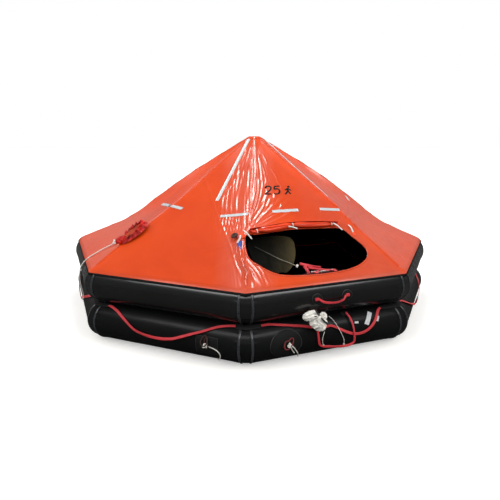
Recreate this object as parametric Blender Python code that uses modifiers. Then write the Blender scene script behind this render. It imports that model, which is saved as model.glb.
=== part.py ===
# Inflatable liferaft, two stacked octagonal buoyancy tubes under a tent canopy.
# Metres, +Z up.  Origin on the floor, under the middle of the raft.
# Corner 0 points to -Y (the front); corner k lies at plan angle 45*k degrees
# from it, turning towards +X.  Side k runs from corner k to corner k+1.
import math

import bpy
import bmesh
from mathutils import Matrix, Vector

for old in list(bpy.data.objects):
    bpy.data.objects.remove(old, do_unlink=True)

# ---------------------------------------------------------------- dimensions
SIDES = 8
CORNER_R = 2.018            # tube centreline, origin to corner
TUBE_R = 0.19               # buoyancy tube radius
GAP = 0.0003                # between pieces that touch
HALF = math.pi / SIDES
APOTHEM = CORNER_R * math.cos(HALF)
GUSSET = 0.05               # length of the narrow corner gusset on the centreline
TUBE_FACES = 24             # faces around a tube, one of them flat on the floor
TUBE_RIM = TUBE_R / math.cos(math.pi / TUBE_FACES)
LOWER_Z = TUBE_R
UPPER_Z = 3 * TUBE_R + GAP

CANOPY_T = 0.006
HEM_R = 0.2015              # outer face of the canopy around the upper tube
HEM_LOW, HEM_HIGH = 40.0, 57.0      # degrees above the tube's equator
APEX_X = 0.0625             # the top stands slightly to the right
APEX_R = 0.065
APEX_Z = 1.984

FLOOR_APOTHEM = 1.738
FLOOR_Z0, FLOOR_Z1 = 0.034, 0.046

COL_BLACK = (0.012, 0.014, 0.014, 1)
COL_ORANGE = (0.78, 0.085, 0.02, 1)
COL_RED = (0.62, 0.02, 0.045, 1)
COL_DARK_RED = (0.28, 0.012, 0.012, 1)
COL_WHITE = (0.8, 0.8, 0.77, 1)
COL_OLIVE = (0.03, 0.026, 0.018, 1)
COL_METAL = (0.5, 0.5, 0.48, 1)

raft = bpy.data.collections.new("life_raft")
cutters = bpy.data.collections.new("cutters")
bpy.context.scene.collection.children.link(raft)
bpy.context.scene.collection.children.link(cutters)


# ------------------------------------------------------------------- helpers
def material(name, colour, roughness, metallic=0.0):
    mat = bpy.data.materials.get(name)
    if mat is None:
        mat = bpy.data.materials.new(name)
        mat.use_nodes = True
        bsdf = mat.node_tree.nodes["Principled BSDF"]
        bsdf.inputs["Base Color"].default_value = colour
        bsdf.inputs["Roughness"].default_value = roughness
        bsdf.inputs["Metallic"].default_value = metallic
    return mat


def add_mesh(name, bm, mat, collection=None, smooth=35):
    bm.normal_update()
    bmesh.ops.recalc_face_normals(bm, faces=bm.faces)
    mesh = bpy.data.meshes.new(name)
    bm.to_mesh(mesh)
    bm.free()
    obj = bpy.data.objects.new(name, mesh)
    (collection or raft).objects.link(obj)
    if mat is not None:
        mesh.materials.append(mat)
    if smooth:
        mesh.shade_smooth()
        mesh.set_sharp_from_angle(angle=math.radians(smooth))
    return obj


def as_cutter(obj):
    obj.hide_render = True
    obj.display_type = 'WIRE'
    return obj


def normal(k):
    a = 2 * HALF * k + HALF
    return Vector((math.sin(a), -math.cos(a), 0))


def tangent(k):
    a = 2 * HALF * k + HALF
    return Vector((math.cos(a), math.sin(a), 0))


def corner_dir(k):
    a = 2 * HALF * k
    return Vector((math.sin(a), -math.cos(a), 0))


def on_tube(k, f, psi, rad, zc):
    """Point beside side k: fraction f along it, psi degrees above the tube's
    equator (180 is the inner side), rad from the tube's centreline."""
    q = rad * math.cos(math.radians(psi))
    z = zc + rad * math.sin(math.radians(psi))
    along = (f - 0.5) * 2 * (APOTHEM + q) * math.tan(HALF)
    return normal(k) * (APOTHEM + q) + tangent(k) * along + Vector((0, 0, z))


def meet(n1, d1, n2, d2):
    """Plan point where two lines n.p = d cross."""
    det = n1.x * n2.y - n1.y * n2.x
    return Vector(((d1 * n2.y - d2 * n1.y) / det, (n1.x * d2 - n2.x * d1) / det, 0))


def smooth_points(points, per, closed=False):
    """Catmull-Rom curve through points, read at per steps a span."""
    pts = [Vector(p) for p in points]
    n = len(pts)
    out = []
    spans = n if closed else n - 1
    for i in range(spans):
        if closed:
            p0, p1, p2, p3 = (pts[(i + j) % n] for j in (-1, 0, 1, 2))
        else:
            p1, p2 = pts[i], pts[i + 1]
            p0 = pts[i - 1] if i > 0 else p1 * 2 - p2
            p3 = pts[i + 2] if i + 2 < n else p2 * 2 - p1
        for s in range(per):
            t = s / per
            out.append(0.5 * ((2 * p1) + (p2 - p0) * t
                              + (2 * p0 - 5 * p1 + 4 * p2 - p3) * t * t
                              + (3 * p1 - p0 - 3 * p2 + p3) * t ** 3))
    if not closed:
        out.append(pts[-1])
    return out


def tube_curve(name, points, radius, mat, closed=False, res=2):
    """A round line: curve object with bevel depth and filled caps."""
    curve = bpy.data.curves.new(name, 'CURVE')
    curve.dimensions = '3D'
    spline = curve.splines.new('POLY')
    spline.points.add(len(points) - 1)
    for sp, p in zip(spline.points, points):
        sp.co = (p[0], p[1], p[2], 1)
    spline.use_cyclic_u = closed
    spline.use_smooth = True
    curve.bevel_depth = radius
    curve.bevel_resolution = res
    curve.use_fill_caps = not closed
    curve.materials.append(mat)
    obj = bpy.data.objects.new(name, curve)
    raft.objects.link(obj)
    return obj


def flat_outline(name, points, thickness, matrix, mat, collection, per=4):
    """A flat piece cut to a smooth outline: 2D curve, filled and extruded,
    turned into a mesh and closed."""
    curve = bpy.data.curves.new(name + "_outline", 'CURVE')
    curve.dimensions = '2D'
    curve.fill_mode = 'BOTH'
    spline = curve.splines.new('POLY')
    pts = smooth_points([(p[0], p[1], 0) for p in points], per, closed=True)
    spline.points.add(len(pts) - 1)
    for sp, p in zip(spline.points, pts):
        sp.co = (p.x, p.y, 0, 1)
    spline.use_cyclic_u = True
    curve.extrude = thickness / 2
    tmp = bpy.data.objects.new(name + "_outline", curve)
    collection.objects.link(tmp)
    dg = bpy.context.evaluated_depsgraph_get()
    mesh = bpy.data.meshes.new_from_object(tmp.evaluated_get(dg))
    mesh.name = name
    bm = bmesh.new()
    bm.from_mesh(mesh)
    bmesh.ops.remove_doubles(bm, verts=bm.verts, dist=0.00005)
    bmesh.ops.recalc_face_normals(bm, faces=bm.faces)
    bm.to_mesh(mesh)
    bm.free()
    bpy.data.objects.remove(tmp, do_unlink=True)
    bpy.data.curves.remove(curve)
    obj = bpy.data.objects.new(name, mesh)
    collection.objects.link(obj)
    mesh.materials.clear()
    if mat is not None:
        mesh.materials.append(mat)
    obj.matrix_world = matrix
    return obj


def boolean(obj, cutter, operation):
    mod = obj.modifiers.new(operation.lower() + "_" + cutter.name, 'BOOLEAN')
    mod.operation = operation
    mod.solver = 'EXACT'
    mod.object = cutter
    return mod


def capsule_bm(radius, length, around, rings):
    """Cylinder with round ends along Z, from a sphere whose halves move apart;
    an odd ring count keeps every point off the equator."""
    bm = bmesh.new()
    bmesh.ops.create_uvsphere(bm, u_segments=around, v_segments=rings, radius=radius)
    for v in bm.verts:
        v.co.z += length / 2 if v.co.z > 0 else -length / 2
    return bm


# ------------------------------------------------------------------ materials
m_tube = material("tube_rubber", COL_BLACK, 0.42)
m_canopy = material("canopy_fabric", COL_ORANGE, 0.38)
m_web = material("red_webbing", COL_RED, 0.6)
m_port = material("port_fabric", COL_DARK_RED, 0.55)
m_white = material("white_cord", COL_WHITE, 0.7)
m_bag = material("white_bag", COL_WHITE, 0.55)
m_olive = material("lining_fabric", COL_OLIVE, 0.8)
m_floor = material("floor_fabric", COL_BLACK, 0.6)
m_metal = material("bottle_metal", COL_METAL, 0.4, 0.6)
m_brass = material("valve_metal", (0.6, 0.42, 0.16, 1), 0.35, 1.0)


# ------------------------------------------------------------ buoyancy tubes
# Each corner has two mitre planes, one each side of its narrow gusset, so the
# ring has sixteen stations.  A station's section is the tube's circle carried
# into the mitre plane by crossing the offset lines of the two neighbours.
GUSSET_APOTHEM = CORNER_R - (GUSSET / 2) / math.tan(3 * HALF)


def tube_ring(name, zc, mat):
    bm = bmesh.new()
    rings = []
    for k in range(SIDES):
        # side k-1 | gusset at corner k | side k
        for n_side in (normal(k - 1), normal(k)):
            ring = []
            for i in range(TUBE_FACES):
                a = 2 * math.pi * (i + 0.5) / TUBE_FACES
                q = TUBE_RIM * math.cos(a)
                p = meet(n_side, APOTHEM + q, corner_dir(k), GUSSET_APOTHEM + q)
                ring.append(bm.verts.new((p.x, p.y, zc + TUBE_RIM * math.sin(a))))
            rings.append(ring)
    count = len(rings)
    for j in range(count):
        a, b = rings[j], rings[(j + 1) % count]
        for i in range(TUBE_FACES):
            i2 = (i + 1) % TUBE_FACES
            bm.faces.new((a[i], a[i2], b[i2], b[i]))
    return add_mesh(name, bm, mat, smooth=20)


tube_ring("lower_tube", LOWER_Z, m_tube)
tube_ring("upper_tube", UPPER_Z, m_tube)

# --------------------------------------------------------------------- canopy
# Levels run from the hem on the upper tube to the top.  Between the tube and
# the top the ridges are straight, except those over the arch (corners 2 and 6),
# which drop to a knee where the cloth leaves the arch.
q_low = HEM_R * math.cos(math.radians(HEM_LOW))
q_high = HEM_R * math.cos(math.radians(HEM_HIGH))
Z_LOW = UPPER_Z + HEM_R * math.sin(math.radians(HEM_LOW))
Z_HIGH = UPPER_Z + HEM_R * math.sin(math.radians(HEM_HIGH))

# columns: fraction up the ridge, drop of the two arch ridges
RIDGE_DROP = [
    (0.12, -0.046), (0.25, -0.088), (0.36, -0.078), (0.46, -0.045),
    (0.60, -0.010), (0.78, 0.004),
]


def ridge_point(k, apothem, z):
    return corner_dir(k) * (apothem / math.cos(HALF)) + Vector((0, 0, z))


def canopy_level(t):
    """Eight corners of the canopy at fraction t from the hem's top to the apex."""
    out = []
    for k in range(SIDES):
        low = ridge_point(k, APOTHEM + q_high, Z_HIGH)
        top = corner_dir(k) * APEX_R + Vector((APEX_X, 0, APEX_Z))
        out.append(low.lerp(top, t))
    return out


# The whole tent surface first, to find its inner side; the eight panels and the
# top are then cut from it, each a closed piece of its own.
bm = bmesh.new()
levels = [[ridge_point(k, APOTHEM + q_low, Z_LOW) for k in range(SIDES)]]
for t, drop in [(0.0, 0.0)] + RIDGE_DROP + [(1.0, 0.0)]:
    pts = canopy_level(t)
    for k in (2, 6):
        pts[k] = pts[k] + Vector((0, 0, drop))
    levels.append(pts)
rings = [[bm.verts.new(p) for p in pts] for pts in levels]
for a, b in zip(rings, rings[1:]):
    for k in range(SIDES):
        k2 = (k + 1) % SIDES
        bm.faces.new((a[k], a[k2], b[k2], b[k]))
bm.faces.new(rings[-1])
whole = as_cutter(add_mesh("canopy_surface", bm, None, cutters))
shell = whole.modifiers.new("cloth_thickness", 'SOLIDIFY')
shell.thickness = CANOPY_T
shell.offset = -1
shell.use_even_offset = True
shell.use_rim = False
depsgraph = bpy.context.evaluated_depsgraph_get()
thick = bpy.data.meshes.new_from_object(whole.evaluated_get(depsgraph))
count = len(levels) * SIDES
inner_levels = [[thick.vertices[count + j * SIDES + k].co.copy() for k in range(SIDES)]
                for j in range(len(levels))]
bpy.data.meshes.remove(thick)
bpy.data.objects.remove(whole, do_unlink=True)

panels = []
for k in range(SIDES):
    k2 = (k + 1) % SIDES
    bm = bmesh.new()
    rows = []
    for outer, inside in zip(levels, inner_levels):
        row = []
        for ring in (outer, inside):
            step = (ring[k2] - ring[k]).normalized() * (GAP / 2)
            row += [bm.verts.new(ring[k] + step), bm.verts.new(ring[k2] - step)]
        rows.append(row)
    for a, b in zip(rows, rows[1:]):
        bm.faces.new((a[0], a[1], b[1], b[0]))
        bm.faces.new((a[2], b[2], b[3], a[3]))
        bm.faces.new((a[0], b[0], b[2], a[2]))
        bm.faces.new((a[1], a[3], b[3], b[1]))
    for row in (rows[0], rows[-1]):
        bm.faces.new((row[0], row[2], row[3], row[1]))
    panels.append(add_mesh("canopy_panel_%d" % k, bm, m_canopy, smooth=12))

bm = bmesh.new()
caps = []
for ring in (levels[-1], inner_levels[-1]):
    mid = sum(ring, Vector()) / SIDES
    caps.append([bm.verts.new(mid + (p - mid) * (1 - 1.1 * GAP / APEX_R)) for p in ring])
for k in range(SIDES):
    k2 = (k + 1) % SIDES
    bm.faces.new((caps[0][k], caps[0][k2], caps[1][k2], caps[1][k]))
bm.faces.new(caps[0])
bm.faces.new(caps[1])
add_mesh("canopy_top", bm, m_canopy, smooth=12)


def panel_matrix(k, lift=0.0):
    """Frame of canopy panel k: X along the side, Y up the slope, Z outwards,
    origin where the panel's plane meets the height of the hem's lower edge."""
    low = normal(k) * (APOTHEM + q_high) + Vector((0, 0, Z_HIGH))
    top = Vector((APEX_X, 0, APEX_Z)) + normal(k) * APEX_R * math.cos(HALF)
    x = tangent(k)
    up = top - low
    y = (up - x * up.dot(x)).normalized()
    z = x.cross(y).normalized()
    origin = low + y * ((Z_LOW - Z_HIGH) / y.z) + z * lift
    m = Matrix((x, y, z)).transposed().to_4x4()
    m.translation = origin
    return m


# Entrance outline on its panel.  columns: metres along the side, metres up
ENTRANCE = [
    (-0.565, 0.690), (-0.630, 0.440), (-0.585, 0.285), (-0.490, 0.190),
    (-0.350, 0.145), (-0.160, 0.128), (0.020, 0.124), (0.180, 0.134),
    (0.330, 0.163), (0.455, 0.215), (0.540, 0.290), (0.566, 0.375),
    (0.550, 0.455), (0.500, 0.560), (0.430, 0.690), (0.250, 0.722),
    (0.060, 0.738), (-0.120, 0.745), (-0.300, 0.728), (-0.450, 0.706),
]
FRONT_PANEL, REAR_PANEL = 0, 4
for tag, k in (("front", FRONT_PANEL), ("rear", REAR_PANEL)):
    cutter = as_cutter(flat_outline(tag + "_entrance_cutter", ENTRANCE, 0.10,
                                    panel_matrix(k), None, cutters, per=2))
    boolean(panels[k], cutter, 'DIFFERENCE')

# --------------------------------------------------- rolled front door, ties
ROLL_R = 0.030
ROLL_LIFT = ROLL_R + 0.008
# columns: metres along the side, metres up
ROLL_LINE = [(-0.555, 0.745), (-0.40, 0.762), (-0.25, 0.782), (-0.10, 0.792),
             (0.08, 0.784), (0.25, 0.768), (0.42, 0.745)]
front = panel_matrix(FRONT_PANEL)
roll_path = smooth_points([front @ Vector((s, h, ROLL_LIFT)) for s, h in ROLL_LINE], 2)
tube_curve("front_door_roll", roll_path, ROLL_R, m_canopy, res=4)

TIE_MAJOR, TIE_MINOR = 0.0335, 0.0027
for tag, j in (("left", 1), ("middle", 6), ("right", 11)):
    at = roll_path[j]
    along = (roll_path[j + 1] - roll_path[j - 1]).normalized()
    bpy.ops.mesh.primitive_torus_add(major_radius=TIE_MAJOR, minor_radius=TIE_MINOR,
                                     major_segments=16, minor_segments=6, location=at,
                                     rotation=along.to_track_quat('Z', 'Y').to_euler())
    tie = bpy.context.object
    tie.name = "front_door_tie_" + tag
    tie.data.materials.append(m_white)
    for coll in list(tie.users_collection):
        coll.objects.unlink(tie)
    raft.objects.link(tie)

# ------------------------------------------------------------------ rear door
# A flap wider than its opening, hung from its top edge; it lies 5 mm outside
# the canopy and swings out and up about its hinge line.
DOOR_T = 0.006
DOOR_LIFT = 0.005 + DOOR_T / 2
DOOR_GROW = 0.030
HINGE_UP = 0.790
cs = sum(p[0] for p in ENTRANCE) / len(ENTRANCE)
ch = sum(p[1] for p in ENTRANCE) / len(ENTRANCE)
door_outline = []
for s, h in ENTRANCE:
    d = Vector((s - cs, h - ch, 0))
    e = d + d.normalized() * DOOR_GROW
    door_outline.append((cs + e.x, ch + e.y))
rear = panel_matrix(REAR_PANEL)
hinge_at = rear @ Vector((0, HINGE_UP, DOOR_LIFT))
door_frame = rear.copy()
door_frame.translation = hinge_at
flat_outline("rear_door", [(s, h - HINGE_UP) for s, h in door_outline], DOOR_T,
             door_frame, m_canopy, raft, per=2)

# -------------------------------------------------------------- inner curtain
CURTAIN_DEPTH = -0.088
CURTAIN = [(-0.56, 0.70), (-0.60, 0.50), (-0.56, 0.34), (-0.44, 0.27), (-0.30, 0.29),
           (-0.20, 0.40), (-0.13, 0.55), (-0.13, 0.70), (-0.34, 0.74)]
flat_outline("inner_curtain", CURTAIN, 0.005, panel_matrix(FRONT_PANEL, CURTAIN_DEPTH),
             m_olive, raft, per=2)

# ------------------------------------------------------------------ arch tube
ARCH_R = 0.09
# columns: distance from the middle, height, down one leg
ARCH_LEG = [(0.453, 1.565), (0.80, 1.335), (1.106, 1.112), (1.305, 0.940),
            (1.50, 0.750), (1.63, 0.60), (1.69, 0.47)]
arch = ([(-x, 0, z) for x, z in reversed(ARCH_LEG)] + [(APEX_X / 2, 0, 1.845)]
        + [(x + 0.02 * (z > 0.9), 0, z) for x, z in ARCH_LEG])
tube_curve("arch_tube", smooth_points(arch, 2), ARCH_R, m_tube, res=4)

# ---------------------------------------------------------------------- floor
# An eight-sided sheet between the tubes, raised over the gas bottle.
BOTTLE_R, BOTTLE_LEN = 0.085, 0.56          # straight part between round ends
BOTTLE_SIDE = 2
BOTTLE_APOTHEM = 1.30
BOTTLE_Z = BOTTLE_R + 0.006
BULGE_OUT, BULGE_IN = 0.124, 0.112
bottle_dir = tangent(BOTTLE_SIDE)
bottle_at = normal(BOTTLE_SIDE) * BOTTLE_APOTHEM
bottle_turn = bottle_dir.to_track_quat('Z', 'X').to_matrix().to_4x4()

bm = bmesh.new()
bmesh.ops.create_cone(bm, cap_ends=True, segments=SIDES,
                      radius1=FLOOR_APOTHEM / math.cos(HALF),
                      radius2=FLOOR_APOTHEM / math.cos(HALF),
                      depth=FLOOR_Z1 - FLOOR_Z0)
bmesh.ops.translate(bm, verts=bm.verts, vec=(0, 0, (FLOOR_Z0 + FLOOR_Z1) / 2))
floor = add_mesh("floor", bm, m_floor, smooth=30)


def bulge(name, radius, flat_below):
    bm = capsule_bm(radius, BOTTLE_LEN + 0.10, 20, 9)
    bm.transform(Matrix.Translation(bottle_at + Vector((0, 0, 0.07))) @ bottle_turn)
    if flat_below is not None:
        geom = bm.verts[:] + bm.edges[:] + bm.faces[:]
        cut = bmesh.ops.bisect_plane(bm, geom=geom, plane_co=(0, 0, flat_below),
                                     plane_no=(0, 0, -1), clear_outer=True)
        edges = [e for e in cut["geom_cut"] if isinstance(e, bmesh.types.BMEdge)]
        bmesh.ops.edgenet_fill(bm, edges=edges)
    return as_cutter(add_mesh(name, bm, None, cutters))


boolean(floor, bulge("bulge_outside", BULGE_OUT, 0.040), 'UNION')
boolean(floor, bulge("bulge_inside", BULGE_IN, None), 'DIFFERENCE')

# -------------------------------------------------- gas bottle and its valve
bm = capsule_bm(BOTTLE_R, BOTTLE_LEN, 24, 9)
bm.transform(Matrix.Translation(bottle_at + Vector((0, 0, BOTTLE_Z))) @ bottle_turn)
add_mesh("gas_cylinder", bm, m_metal)

VALVE_R, VALVE_LEN = 0.018, 0.030
bm = bmesh.new()
bmesh.ops.create_cone(bm, cap_ends=True, segments=20, radius1=VALVE_R, radius2=VALVE_R * 0.8,
                      depth=VALVE_LEN)
end = BOTTLE_LEN / 2 + BOTTLE_R + VALVE_LEN / 2 + 0.0006
bm.transform(Matrix.Translation(bottle_at + bottle_dir * end + Vector((0, 0, BOTTLE_Z)))
             @ bottle_turn)
add_mesh("cylinder_valve", bm, m_brass)

# ------------------------------------------- ballast pockets, righting strap
POCKET = (0.46, 0.30, 0.018)
POCKET_Z = 0.020
# columns: name, side, apothem of its middle
POCKETS = [("front", 7, 1.30), ("right", 1, 1.30), ("rear", 3, 1.30), ("left", 5, 1.30)]
for tag, k, a in POCKETS:
    bm = bmesh.new()
    bmesh.ops.create_cube(bm, size=1.0)
    bmesh.ops.scale(bm, verts=bm.verts, vec=POCKET)
    turn = Matrix.Rotation(math.atan2(tangent(k).y, tangent(k).x), 4, 'Z')
    bm.transform(Matrix.Translation(normal(k) * a + Vector((0, 0, POCKET_Z))) @ turn)
    pocket = add_mesh("ballast_pocket_" + tag, bm, m_olive, smooth=0)
    edge = pocket.modifiers.new("soft_edge", 'BEVEL')
    edge.width = 0.006
    edge.segments = 2

STRAP_W, STRAP_T, STRAP_HALF = 0.045, 0.004, 1.62
bm = bmesh.new()
bmesh.ops.create_cube(bm, size=1.0)
bmesh.ops.scale(bm, verts=bm.verts, vec=(STRAP_W, 2 * STRAP_HALF, STRAP_T))
bmesh.ops.translate(bm, verts=bm.verts, vec=(0, 0, 0.027))
add_mesh("righting_strap", bm, m_web, smooth=0)

# ------------------------------------------------------------------ lifelines
# Red line in one scallop a side, held down near the corners at the joint of the
# tubes.  The front left, front and right sides hang as the photo shows.
LINE_R = 0.006
LINE_RAD = TUBE_RIM + LINE_R + 0.004
STEPS = 24
HELD_PSI = 64.0
# columns: fraction along the side, degrees above the equator
EVEN_SPAN = [(0.06, 64), (0.12, 60), (0.19, 46), (0.26, 27), (0.33, 10), (0.41, -4), (0.50, -9),
             (0.59, -4), (0.67, 10), (0.74, 27), (0.81, 46), (0.88, 60), (0.94, 64)]
LINE_SPANS = {
    6: [(0.03, 64), (0.08, 60), (0.13, 50), (0.18, 38), (0.24, 24), (0.30, 10), (0.36, -1),
        (0.44, -7), (0.52, 0), (0.60, 17), (0.676, 29), (0.72, 39), (0.76, 47), (0.80, 57),
        (0.85, 64)],
    7: [(0.10, 64), (0.167, 52), (0.222, 37), (0.267, 25), (0.309, 12), (0.347, 3), (0.397, -2),
        (0.454, -5), (0.511, -4), (0.574, 1), (0.628, 11), (0.692, 23), (0.753, 34), (0.809, 47),
        (0.842, 54), (0.889, 60), (0.927, 64)],
    0: [(0.14, 64), (0.186, 58), (0.222, 55), (0.275, 49), (0.337, 43), (0.379, 37), (0.430, 32),
        (0.463, 32), (0.499, 34), (0.529, 27), (0.560, 17), (0.593, 9), (0.628, 2), (0.671, -1),
        (0.714, 3), (0.751, 13), (0.786, 28), (0.826, 50), (0.861, 64)],
    1: [(0.09, 64), (0.107, 60), (0.147, 47), (0.207, 31), (0.27, 18), (0.345, 7), (0.41, -4),
        (0.482, -11), (0.56, -13), (0.64, -9), (0.70, 6), (0.75, 25), (0.804, 41), (0.87, 56),
        (0.92, 64)],
}
line_table = [(k + f, psi) for k in range(SIDES) for f, psi in LINE_SPANS.get(k, EVEN_SPAN)]


def ring_point(s, psi, rad, zc):
    s = s % SIDES
    k = int(s) % SIDES
    return on_tube(k, s - int(s), psi, rad, zc)


def line_psi(s):
    """Degrees at place s round the raft, straight between the table's rows."""
    for (s0, p0), (s1, p1) in zip(line_table, line_table[1:]):
        if s0 <= s <= s1:
            return p0 + (p1 - p0) * (s - s0) / (s1 - s0)
    return HELD_PSI


line = [ring_point(j / STEPS, line_psi(j / STEPS), LINE_RAD, LOWER_Z)
        for j in range(SIDES * STEPS)]
tube_curve("lifeline", line, LINE_R, m_web, closed=True)

inner = []
for k in range(SIDES):
    for i in range(8):
        u = i / 8
        dip = math.sin(math.pi * u)
        inner.append(on_tube(k, u, 0, -(0.120 + 0.085 * dip), 2 * TUBE_R - 0.085 * dip))
tube_curve("inner_lifeline", inner, LINE_R, m_web, closed=True)

# ------------------------------------------------------------------- handles
# columns: fraction along the side, degrees above the equator, stand-off
HANDLE = [(0.405, 3, 0.0), (0.418, 1, 0.004), (0.440, -4, 0.030), (0.500, -7, 0.040),
          (0.550, -4, 0.030), (0.573, 2, 0.004), (0.586, 4, 0.0)]
for tag, k in (("front", 0), ("rear", 4)):
    pts = smooth_points([on_tube(k, f, psi, TUBE_RIM + LINE_R + 0.001 + off, UPPER_Z)
                         for f, psi, off in HANDLE], 3)
    tube_curve(tag + "_handle", pts, LINE_R, m_web)

# ------------------------------------------------------------ boarding ladders
LADDER_RAD = LINE_RAD + 0.0145
# Each ladder is one loop: it follows the tube down to its equator and hangs
# straight from there.
# columns: fraction along the side, degrees above the equator
LADDER_LEFT = [(0.415, 62), (0.413, 44), (0.411, 26), (0.413, 8)]
LADDER_RIGHT = [(0.632, 8), (0.630, 26), (0.627, 44), (0.622, 62)]
# columns: fraction along the side, height
LADDER_HUNG = [(0.418, 0.165), (0.429, 0.137), (0.450, 0.124), (0.475, 0.116), (0.502, 0.106),
               (0.535, 0.098), (0.570, 0.094), (0.608, 0.099), (0.632, 0.120), (0.635, 0.155)]
for tag, k in (("front", 0), ("rear", 4)):
    pts = [on_tube(k, f, psi, LADDER_RAD, LOWER_Z) for f, psi in LADDER_LEFT]
    pts += [on_tube(k, f, 0, LADDER_RAD, z) for f, z in LADDER_HUNG]
    pts += [on_tube(k, f, psi, LADDER_RAD, LOWER_Z) for f, psi in LADDER_RIGHT]
    tube_curve(tag + "_ladder", smooth_points(pts, 3), 0.005, m_web)

# Inside the entrance: a strap over the tube's top, with a pale rope to the left.
# columns: fraction along the side, degrees above the equator, stand-off
INNER_LADDER = [(0.455, 84, 0), (0.450, 100, 0), (0.450, 125, 0), (0.452, 150, 0),
                (0.455, 175, 0), (0.475, 192, 0), (0.52, 196, 0), (0.565, 192, 0),
                (0.585, 175, 0), (0.588, 150, 0), (0.588, 125, 0), (0.586, 100, 0),
                (0.580, 84, 0)]
pts = smooth_points([on_tube(0, f, psi, TUBE_RIM + 0.009 + off, UPPER_Z)
                     for f, psi, off in INNER_LADDER], 2)
tube_curve("inner_ladder", pts, 0.005, m_web)

# columns: metres along the side, metres up the panel, depth below it
INNER_LINE = [(-0.54, 0.605, -0.070), (-0.44, 0.505, -0.068), (-0.35, 0.420, -0.070),
              (-0.27, 0.360, -0.071), (-0.20, 0.320, -0.084)]
pts = smooth_points([front @ Vector(p) for p in INNER_LINE], 4)
tube_curve("inner_line", pts, 0.004, m_white)

# ------------------------------------------- white line bag and its two lines
bag_at = on_tube(0, 0.395, 0, 0.228, LOWER_Z + 0.170)
bm = bmesh.new()
bmesh.ops.create_uvsphere(bm, u_segments=16, v_segments=10, radius=1.0)
bmesh.ops.scale(bm, verts=bm.verts, vec=(0.105, 0.050, 0.070))
turn = Matrix.Rotation(math.atan2(tangent(0).y, tangent(0).x), 4, 'Z')
tilt = Matrix.Rotation(math.radians(32), 4, 'Y')
bm.transform(Matrix.Translation(bag_at) @ turn @ tilt)
add_mesh("line_bag", bm, m_bag)

CORD_R = 0.003
ROPE_R = 0.005               # the towing lines and the lookout's drawcord
CORD_RAD = LINE_RAD + 0.0105
# columns: fraction along the side, degrees above the equator
BAG_CORDS = {
    "bag_cord_long": [(0.505, 58), (0.520, 45), (0.535, 28), (0.552, 10), (0.570, -8),
                      (0.578, -24)],
    "bag_cord_short": [(0.452, 20), (0.440, 8), (0.437, -4), (0.446, -16)],
}
for name, table in BAG_CORDS.items():
    pts = smooth_points([on_tube(0, f, psi, CORD_RAD, LOWER_Z) for f, psi in table], 4)
    tube_curve(name, pts, CORD_R, m_white)

# --------------------------------------------- towing loops and their lines
TOW_RAD = TUBE_RIM + 0.006
# columns: name, side, fraction, degrees, then the line's fractions and degrees
TOWS = [
    ("left", 7, 0.785, 6, [(0.792, -4), (0.825, -6), (0.852, -11), (0.871, -22), (0.868, -38),
                           (0.852, -54), (0.842, -68)]),
    ("right", 0, 0.205, 2, [(0.214, -8), (0.232, -13), (0.250, -24), (0.266, -38), (0.276, -52),
                            (0.284, -68)]),
]
for tag, k, f, psi, table in TOWS:
    at = on_tube(k, f, psi, TUBE_RIM + 0.026, LOWER_Z)
    bpy.ops.mesh.primitive_torus_add(
        major_radius=0.019, minor_radius=0.0045, major_segments=20, minor_segments=8,
        location=at, rotation=tangent(k).to_track_quat('Z', 'Y').to_euler())
    loop = bpy.context.object
    loop.name = "tow_ring_" + tag
    loop.data.materials.append(m_port)
    for coll in list(loop.users_collection):
        coll.objects.unlink(loop)
    raft.objects.link(loop)
    pts = smooth_points([on_tube(k, g, p, TOW_RAD, LOWER_Z) for g, p in table], 4)
    tube_curve("tow_cord_" + tag, pts, ROPE_R, m_white)

# ---------------------------------------------- lookout port and its drawcord
# A gathered sleeve on the ridge over corner 7: a flattened dome whose flat
# side lies just above the ridge.
PORT_T = 0.225               # place up the ridge, as a fraction
low = ridge_point(7, APOTHEM + q_high, Z_HIGH)
top = corner_dir(7) * APEX_R + Vector((APEX_X, 0, APEX_Z))
ridge_dir = (top - low).normalized()
across = Vector((0, 0, 1)).cross(ridge_dir).normalized()
up = ridge_dir.cross(across).normalized()
if up.z < 0:
    up = -up
across = up.cross(ridge_dir).normalized()
port_at = low.lerp(top, PORT_T) + up * 0.0012
bm = bmesh.new()
bmesh.ops.create_uvsphere(bm, u_segments=20, v_segments=12, radius=1.0)
geom = bm.verts[:] + bm.edges[:] + bm.faces[:]
cut = bmesh.ops.bisect_plane(bm, geom=geom, plane_co=(0, 0, 0), plane_no=(0, 0, -1),
                             clear_outer=True)
edges = [e for e in cut["geom_cut"] if isinstance(e, bmesh.types.BMEdge)]
bmesh.ops.edgenet_fill(bm, edges=edges)
bmesh.ops.scale(bm, verts=bm.verts, vec=(0.190, 0.115, 0.062))
m = Matrix((ridge_dir, across, up)).transposed().to_4x4()
m.translation = port_at
bm.transform(m)
add_mesh("lookout_port", bm, m_port)

left_panel = panel_matrix(6)
# columns: metres along the side, metres up the panel, height over it
DRAWCORD_TOP = [(0.545, 0.385, 0.012), (0.500, 0.335, 0.007), (0.465, 0.290, 0.007),
                (0.430, 0.225, 0.007), (0.405, 0.150, 0.007), (0.385, 0.095, 0.007)]
# columns: fraction along the side, degrees above the equator, stand-off
DRAWCORD_LOW = [(0.735, 52, 0.0), (0.725, 38, 0.002), (0.712, 22, 0.004), (0.705, 6, 0.006),
                (0.702, -10, 0.012), (0.700, -24, 0.028)]
pts = [left_panel @ Vector(p) for p in DRAWCORD_TOP]
pts += [on_tube(6, f, psi, HEM_R + 0.006 + off, UPPER_Z) for f, psi, off in DRAWCORD_LOW]
pts += [on_tube(6, 0.690, 34, LINE_RAD + 0.030, LOWER_Z),
        on_tube(6, 0.680, 20, LINE_RAD + 0.018, LOWER_Z)]
tube_curve("lookout_cord", smooth_points(pts, 4), ROPE_R, m_white)

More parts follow.
